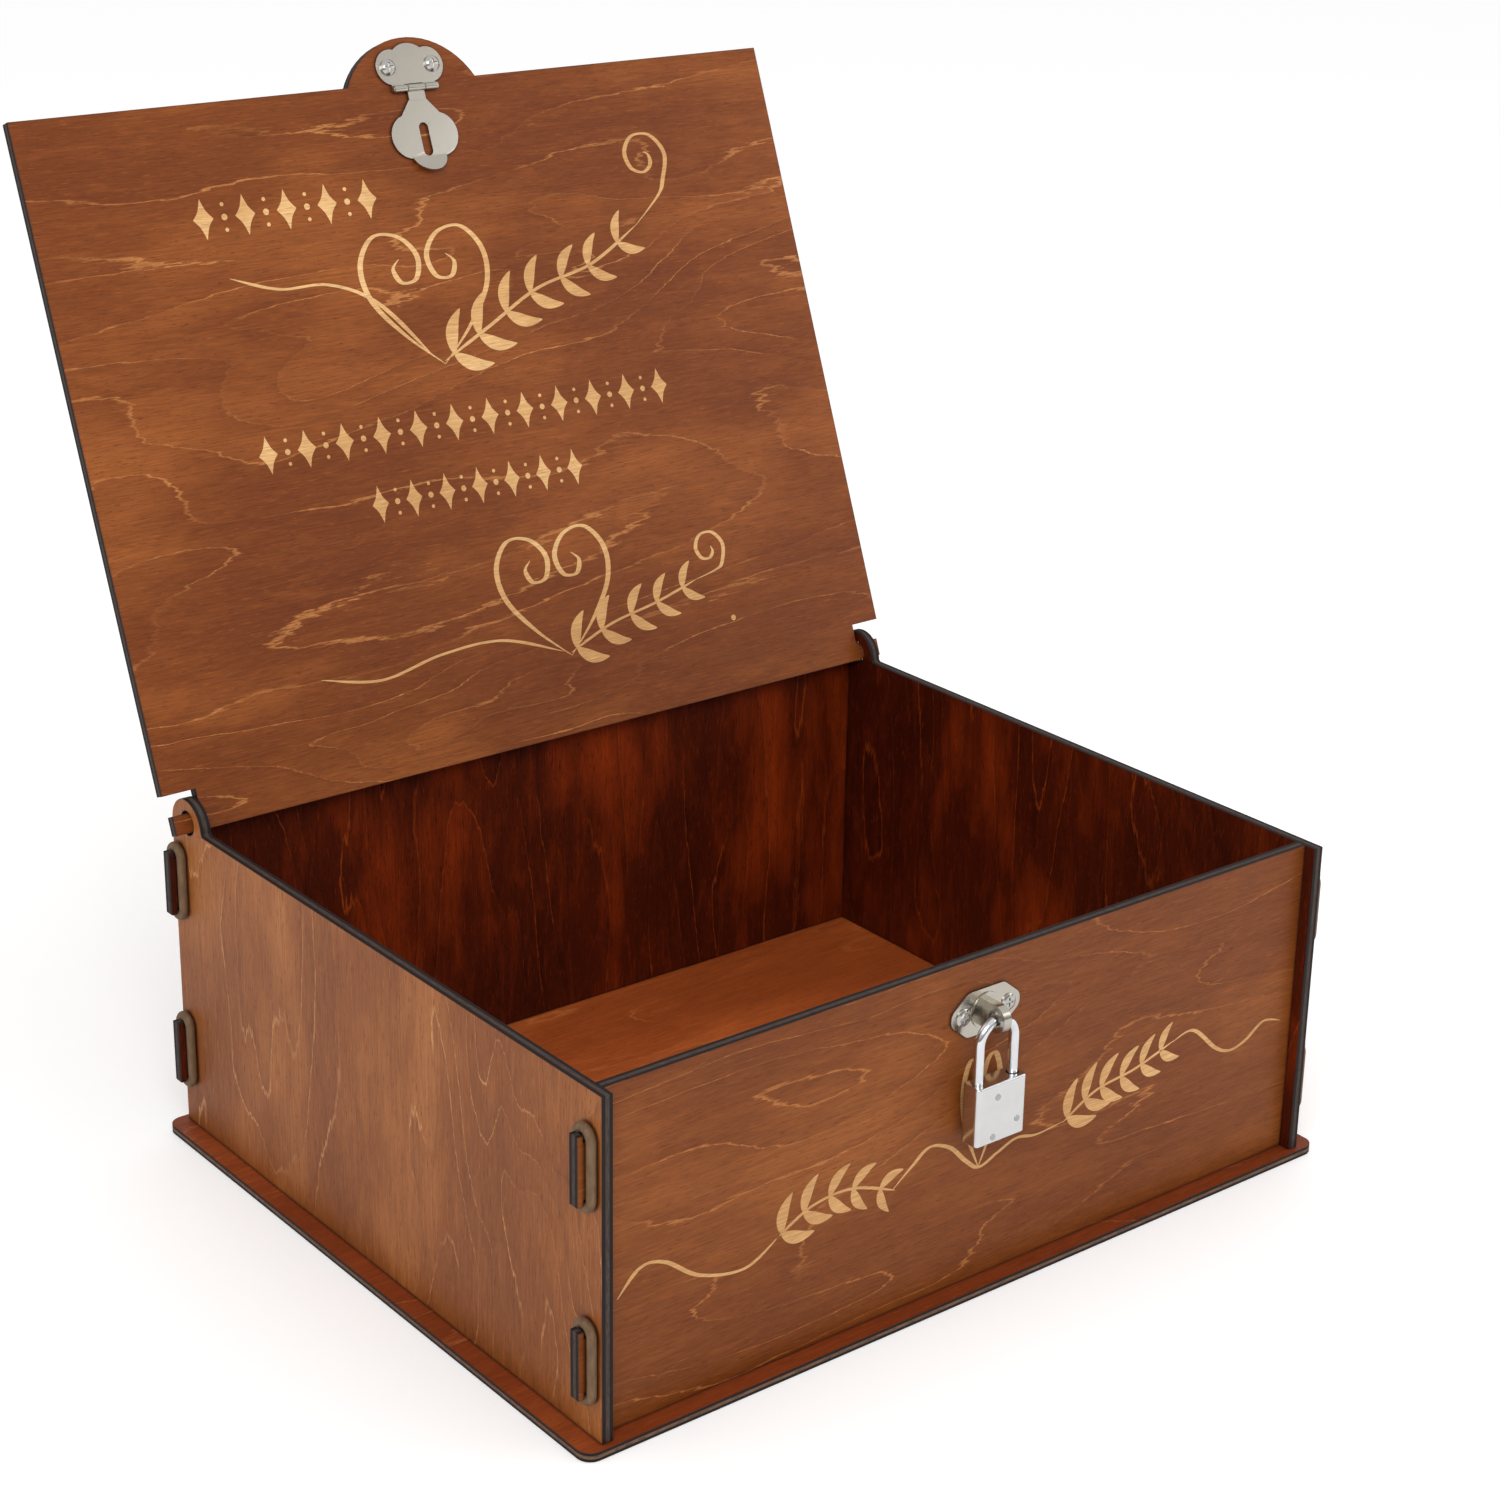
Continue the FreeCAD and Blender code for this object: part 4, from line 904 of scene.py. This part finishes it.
lower_swash = [(-89.6, 36.8), (-66.0, 32.0), (-40.0, 36.0), (-14.0, 36.0), (11.0, 27.0)]
ornament("lid_swash_lower", lid_inside_spot, [stroke(lower_swash, 0.9, 2.0, 12)], [], "lid", gold_lid)
ornament("lid_heart_lower", lid_inside_spot, heart(14.0, 25.0, 48.0, 47.0), [], "lid", gold_lid)
lower_stem = [(14.0, 26.0), (34.0, 33.0), (56.0, 37.0), (76.0, 42.0)]
lower_curl = [(76.0, 42.0), (86.0, 44.0)] + curl(84.0, 52.5, 8.5, 2.0, -50, 1.2)
ornament("lid_sprig_lower", lid_inside_spot,
         laurel(lower_stem, 5, 14.5, 4.6) + [stroke(lower_curl, 0.9, 1.7, 8)], [ring(89.4, 24.6, 1.1)],
         "lid", gold_lid)

# %% [markdown]
# ## Ornament on top of the lid
#
# The top carries a light spray of line-drawn blossom along the rear half and
# a border near the front edge. The lines are thin and open, so the blossoms
# are outlines: closed strokes round each petal.

# %% Lid top ornament
OPEN_LEAF_SPREAD = 42
FIRST_OPEN_LEAF, OPEN_LEAF_RUN = 0.18, 0.78


def petal(cx, cy, angle, long, wide, line_wide=0.55):
    """Outline of one petal as a closed stroke."""
    way = math.radians(angle)
    ux, uy = math.cos(way), math.sin(way)
    shape = [(0.08, 0.0), (0.4, 0.42), (0.8, 0.5), (1.0, 0.0), (0.8, -0.5), (0.4, -0.42)]
    knots = [(cx + ux * a * long - uy * b * wide, cy + uy * a * long + ux * b * wide) for a, b in shape]
    return (*sides(through(knots, 6, True), lambda along, slope: line_wide, True), True)


def blossom(cx, cy, size, turn):
    """Five outlined petals."""
    return [petal(cx, cy, turn + 72 * k, size, size * 0.62) for k in range(5)]


def open_sprig(knots, count, size):
    """Thin stem with outlined leaves in pairs."""
    stem = through(knots, 10)
    strips = [(*sides(stem, pen(0.5, 0.7)), False)]
    for k in range(count):
        i = int((FIRST_OPEN_LEAF + OPEN_LEAF_RUN * k / count) * (len(stem) - 2))
        (x1, y1), (x2, y2) = stem[i], stem[i + 1]
        heading = math.degrees(math.atan2(y2 - y1, x2 - x1))
        for side_way in (1, -1):
            strips.append(petal(x1, y1, heading + side_way * OPEN_LEAF_SPREAD, size, size * 0.36, 0.5))
    return strips


top_left = []
for knots, count, size in (
    ([(-132.0, 30.0), (-112.0, 52.0), (-96.0, 82.0), (-90.0, 118.0)], 7, 13.0),
    ([(-126.0, 36.0), (-96.0, 44.0), (-66.0, 66.0), (-44.0, 96.0)], 7, 13.0),
    ([(-118.0, 26.0), (-86.0, 24.0), (-54.0, 34.0), (-22.0, 56.0)], 7, 12.0),
):
    top_left += open_sprig(knots, count, size)
top_left += blossom(-108.0, 40.0, 15.0, 10) + blossom(-70.0, 46.0, 13.0, 40)
ornament("lid_top_spray_left", lid_outside_spot, top_left, [], "lid", gold_lid)

top_right = []
for knots, count, size in (
    ([(0.0, 22.0), (30.0, 34.0), (56.0, 58.0), (74.0, 92.0)], 7, 13.0),
    ([(20.0, 20.0), (58.0, 24.0), (92.0, 40.0), (124.0, 66.0)], 8, 13.0),
    ([(8.0, 30.0), (16.0, 56.0), (14.0, 82.0), (4.0, 106.0)], 6, 12.0),
):
    top_right += open_sprig(knots, count, size)
top_right += blossom(24.0, 34.0, 16.0, 0) + blossom(62.0, 38.0, 14.0, 25) + blossom(98.0, 34.0, 12.0, 50)
ornament("lid_top_spray_right", lid_outside_spot, top_right, [], "lid", gold_lid)
ornament("lid_top_border", lid_outside_spot, [], border(-62.0, 62.0, 196.0, 209.0, 8), "lid", gold_lid)

# %% [markdown]
# ## The camera
#
# The box is seen from its front left corner and a little above, with a long
# lens, as a product is usually shown. The camera is turned by its own three
# directions. A tiny roll is part of them.

# %% Camera
def turned_camera(spot, azimuth, elevation, roll, lens, shift_x, shift_y):
    """Camera at a spot, looking by azimuth and elevation in degrees."""
    a, e, tilt = math.radians(azimuth), math.radians(elevation), math.radians(roll)
    back = Vector((math.sin(a) * math.cos(e), -math.cos(a) * math.cos(e), math.sin(e)))
    level = (-back).cross(Z).normalized()
    above = level.cross(-back)
    across = level * math.cos(tilt) + above * math.sin(tilt)
    upward = above * math.cos(tilt) - level * math.sin(tilt)
    data = bpy.data.cameras.new("studio_camera")
    data.lens, data.sensor_width = lens, 36.0
    data.shift_x, data.shift_y = shift_x, shift_y
    data.clip_start, data.clip_end = 0.01, 60.0
    camera = bpy.data.objects.new("studio_camera", data)
    turn = Matrix((across, upward, back)).transposed().to_4x4()
    camera.matrix_world = Matrix.Translation(spot) @ turn
    bpy.context.scene.collection.objects.link(camera)
    bpy.context.scene.camera = camera
    return camera


# A spot in metres, then the azimuth, elevation and roll in degrees, the lens
# in millimetres, and the two shifts.
turned_camera((-0.58867, -0.73584, 0.5164), -38.660, 20.459, 0.943, 72.334, 0.0015, -0.0322)
print("camera at", [round(v, 3) for v in bpy.context.scene.camera.matrix_world.translation])

# %% [markdown]
# ## Floor and light
#
# A plain pale floor, a soft light from the upper left and a weaker one from
# the right keep the wood even. The well of the box falls dark partly from
# these lights and partly from the painted shade in its darker inner stain. The
# world gives most of the light. It is white where it shows, and a good deal
# greyer low down where only the metals mirror it, so that the chrome has
# light and dark to pick up. The floor shines a little for the eye alone,
# which keeps the far floor white.

# %% Floor
FLOOR_GAP = 0.0002
FLOOR_GLOW = 0.14


def floor_sheet(size, paint):
    """Wide pale floor just under the base."""
    data = bpy.data.meshes.new("studio_floor")
    s, low = size / 2, -FLOOR_GAP
    corners = [(-s, -s, low), (s, -s, low), (s, s, low), (-s, s, low)]
    data.from_pydata(corners, [], [(0, 1, 2, 3)])
    floor = bpy.data.objects.new("studio_floor", data)
    bpy.context.scene.collection.objects.link(floor)
    material, tree, shader = new_material("floor_paint")
    shader.inputs["Base Color"].default_value = paint
    shader.inputs["Roughness"].default_value = 0.9
    shader.inputs["Specular IOR Level"].default_value = 0.1
    seen = put(tree, "ShaderNodeLightPath").outputs["Is Camera Ray"]
    tree.links.new(blend(tree, seen, (0, 0, 0, 1), paint), shader.inputs["Emission Color"])
    shader.inputs["Emission Strength"].default_value = FLOOR_GLOW
    data.materials.append(material)
    return floor


floor = floor_sheet(40.0, (0.95, 0.95, 0.95, 1.0))
print("floor", floor.name, "wide", floor.dimensions.x)


# %% Lights
def softbox(name, spot, aim, wide, tall, watts):
    """Rectangular light aimed at a point."""
    data = bpy.data.lights.new(name, "AREA")
    data.shape, data.size, data.size_y, data.energy = "RECTANGLE", wide, tall, watts
    lamp = bpy.data.objects.new(name, data)
    lamp.location = spot
    lamp.rotation_euler = (Vector(aim) - Vector(spot)).to_track_quat("-Z", "Y").to_euler()
    bpy.context.scene.collection.objects.link(lamp)


softbox("key_light", (-1.1, -1.3, 1.5), (0, 0, 0.12), 1.2, 1.0, 17.0)
softbox("fill_light", (1.6, -1.1, 0.8), (0, 0, 0.1), 1.0, 1.0, 6.0)

# %% Surroundings
LIGHT_LOW, LIGHT_HIGH = 0.3, 0.95
MIRRORED_LOW, MIRRORED_HIGH = 0.16, 0.85

world = bpy.data.worlds.new("studio_world")
bpy.context.scene.world = world
world.use_nodes = True
sky = world.node_tree
way = put(sky, "ShaderNodeTexCoord").outputs["Generated"]
rise = put(sky, "ShaderNodeSeparateXYZ", {0: way}).outputs[2]
path = put(sky, "ShaderNodeLightPath").outputs
lighting = spread(sky, rise, -0.05, 0.6, LIGHT_LOW, LIGHT_HIGH)
mirrored = spread(sky, rise, 0.0, 0.55, MIRRORED_LOW, MIRRORED_HIGH)
strength = between(sky, path["Is Glossy Ray"], lighting, mirrored)
strength = between(sky, path["Is Camera Ray"], strength, 1.0)
sky.links.new(strength, sky.nodes["Background"].inputs["Strength"])
sky.nodes["Background"].inputs["Color"].default_value = (1.0, 1.0, 1.0, 1.0)
print("world nodes", len(sky.nodes))
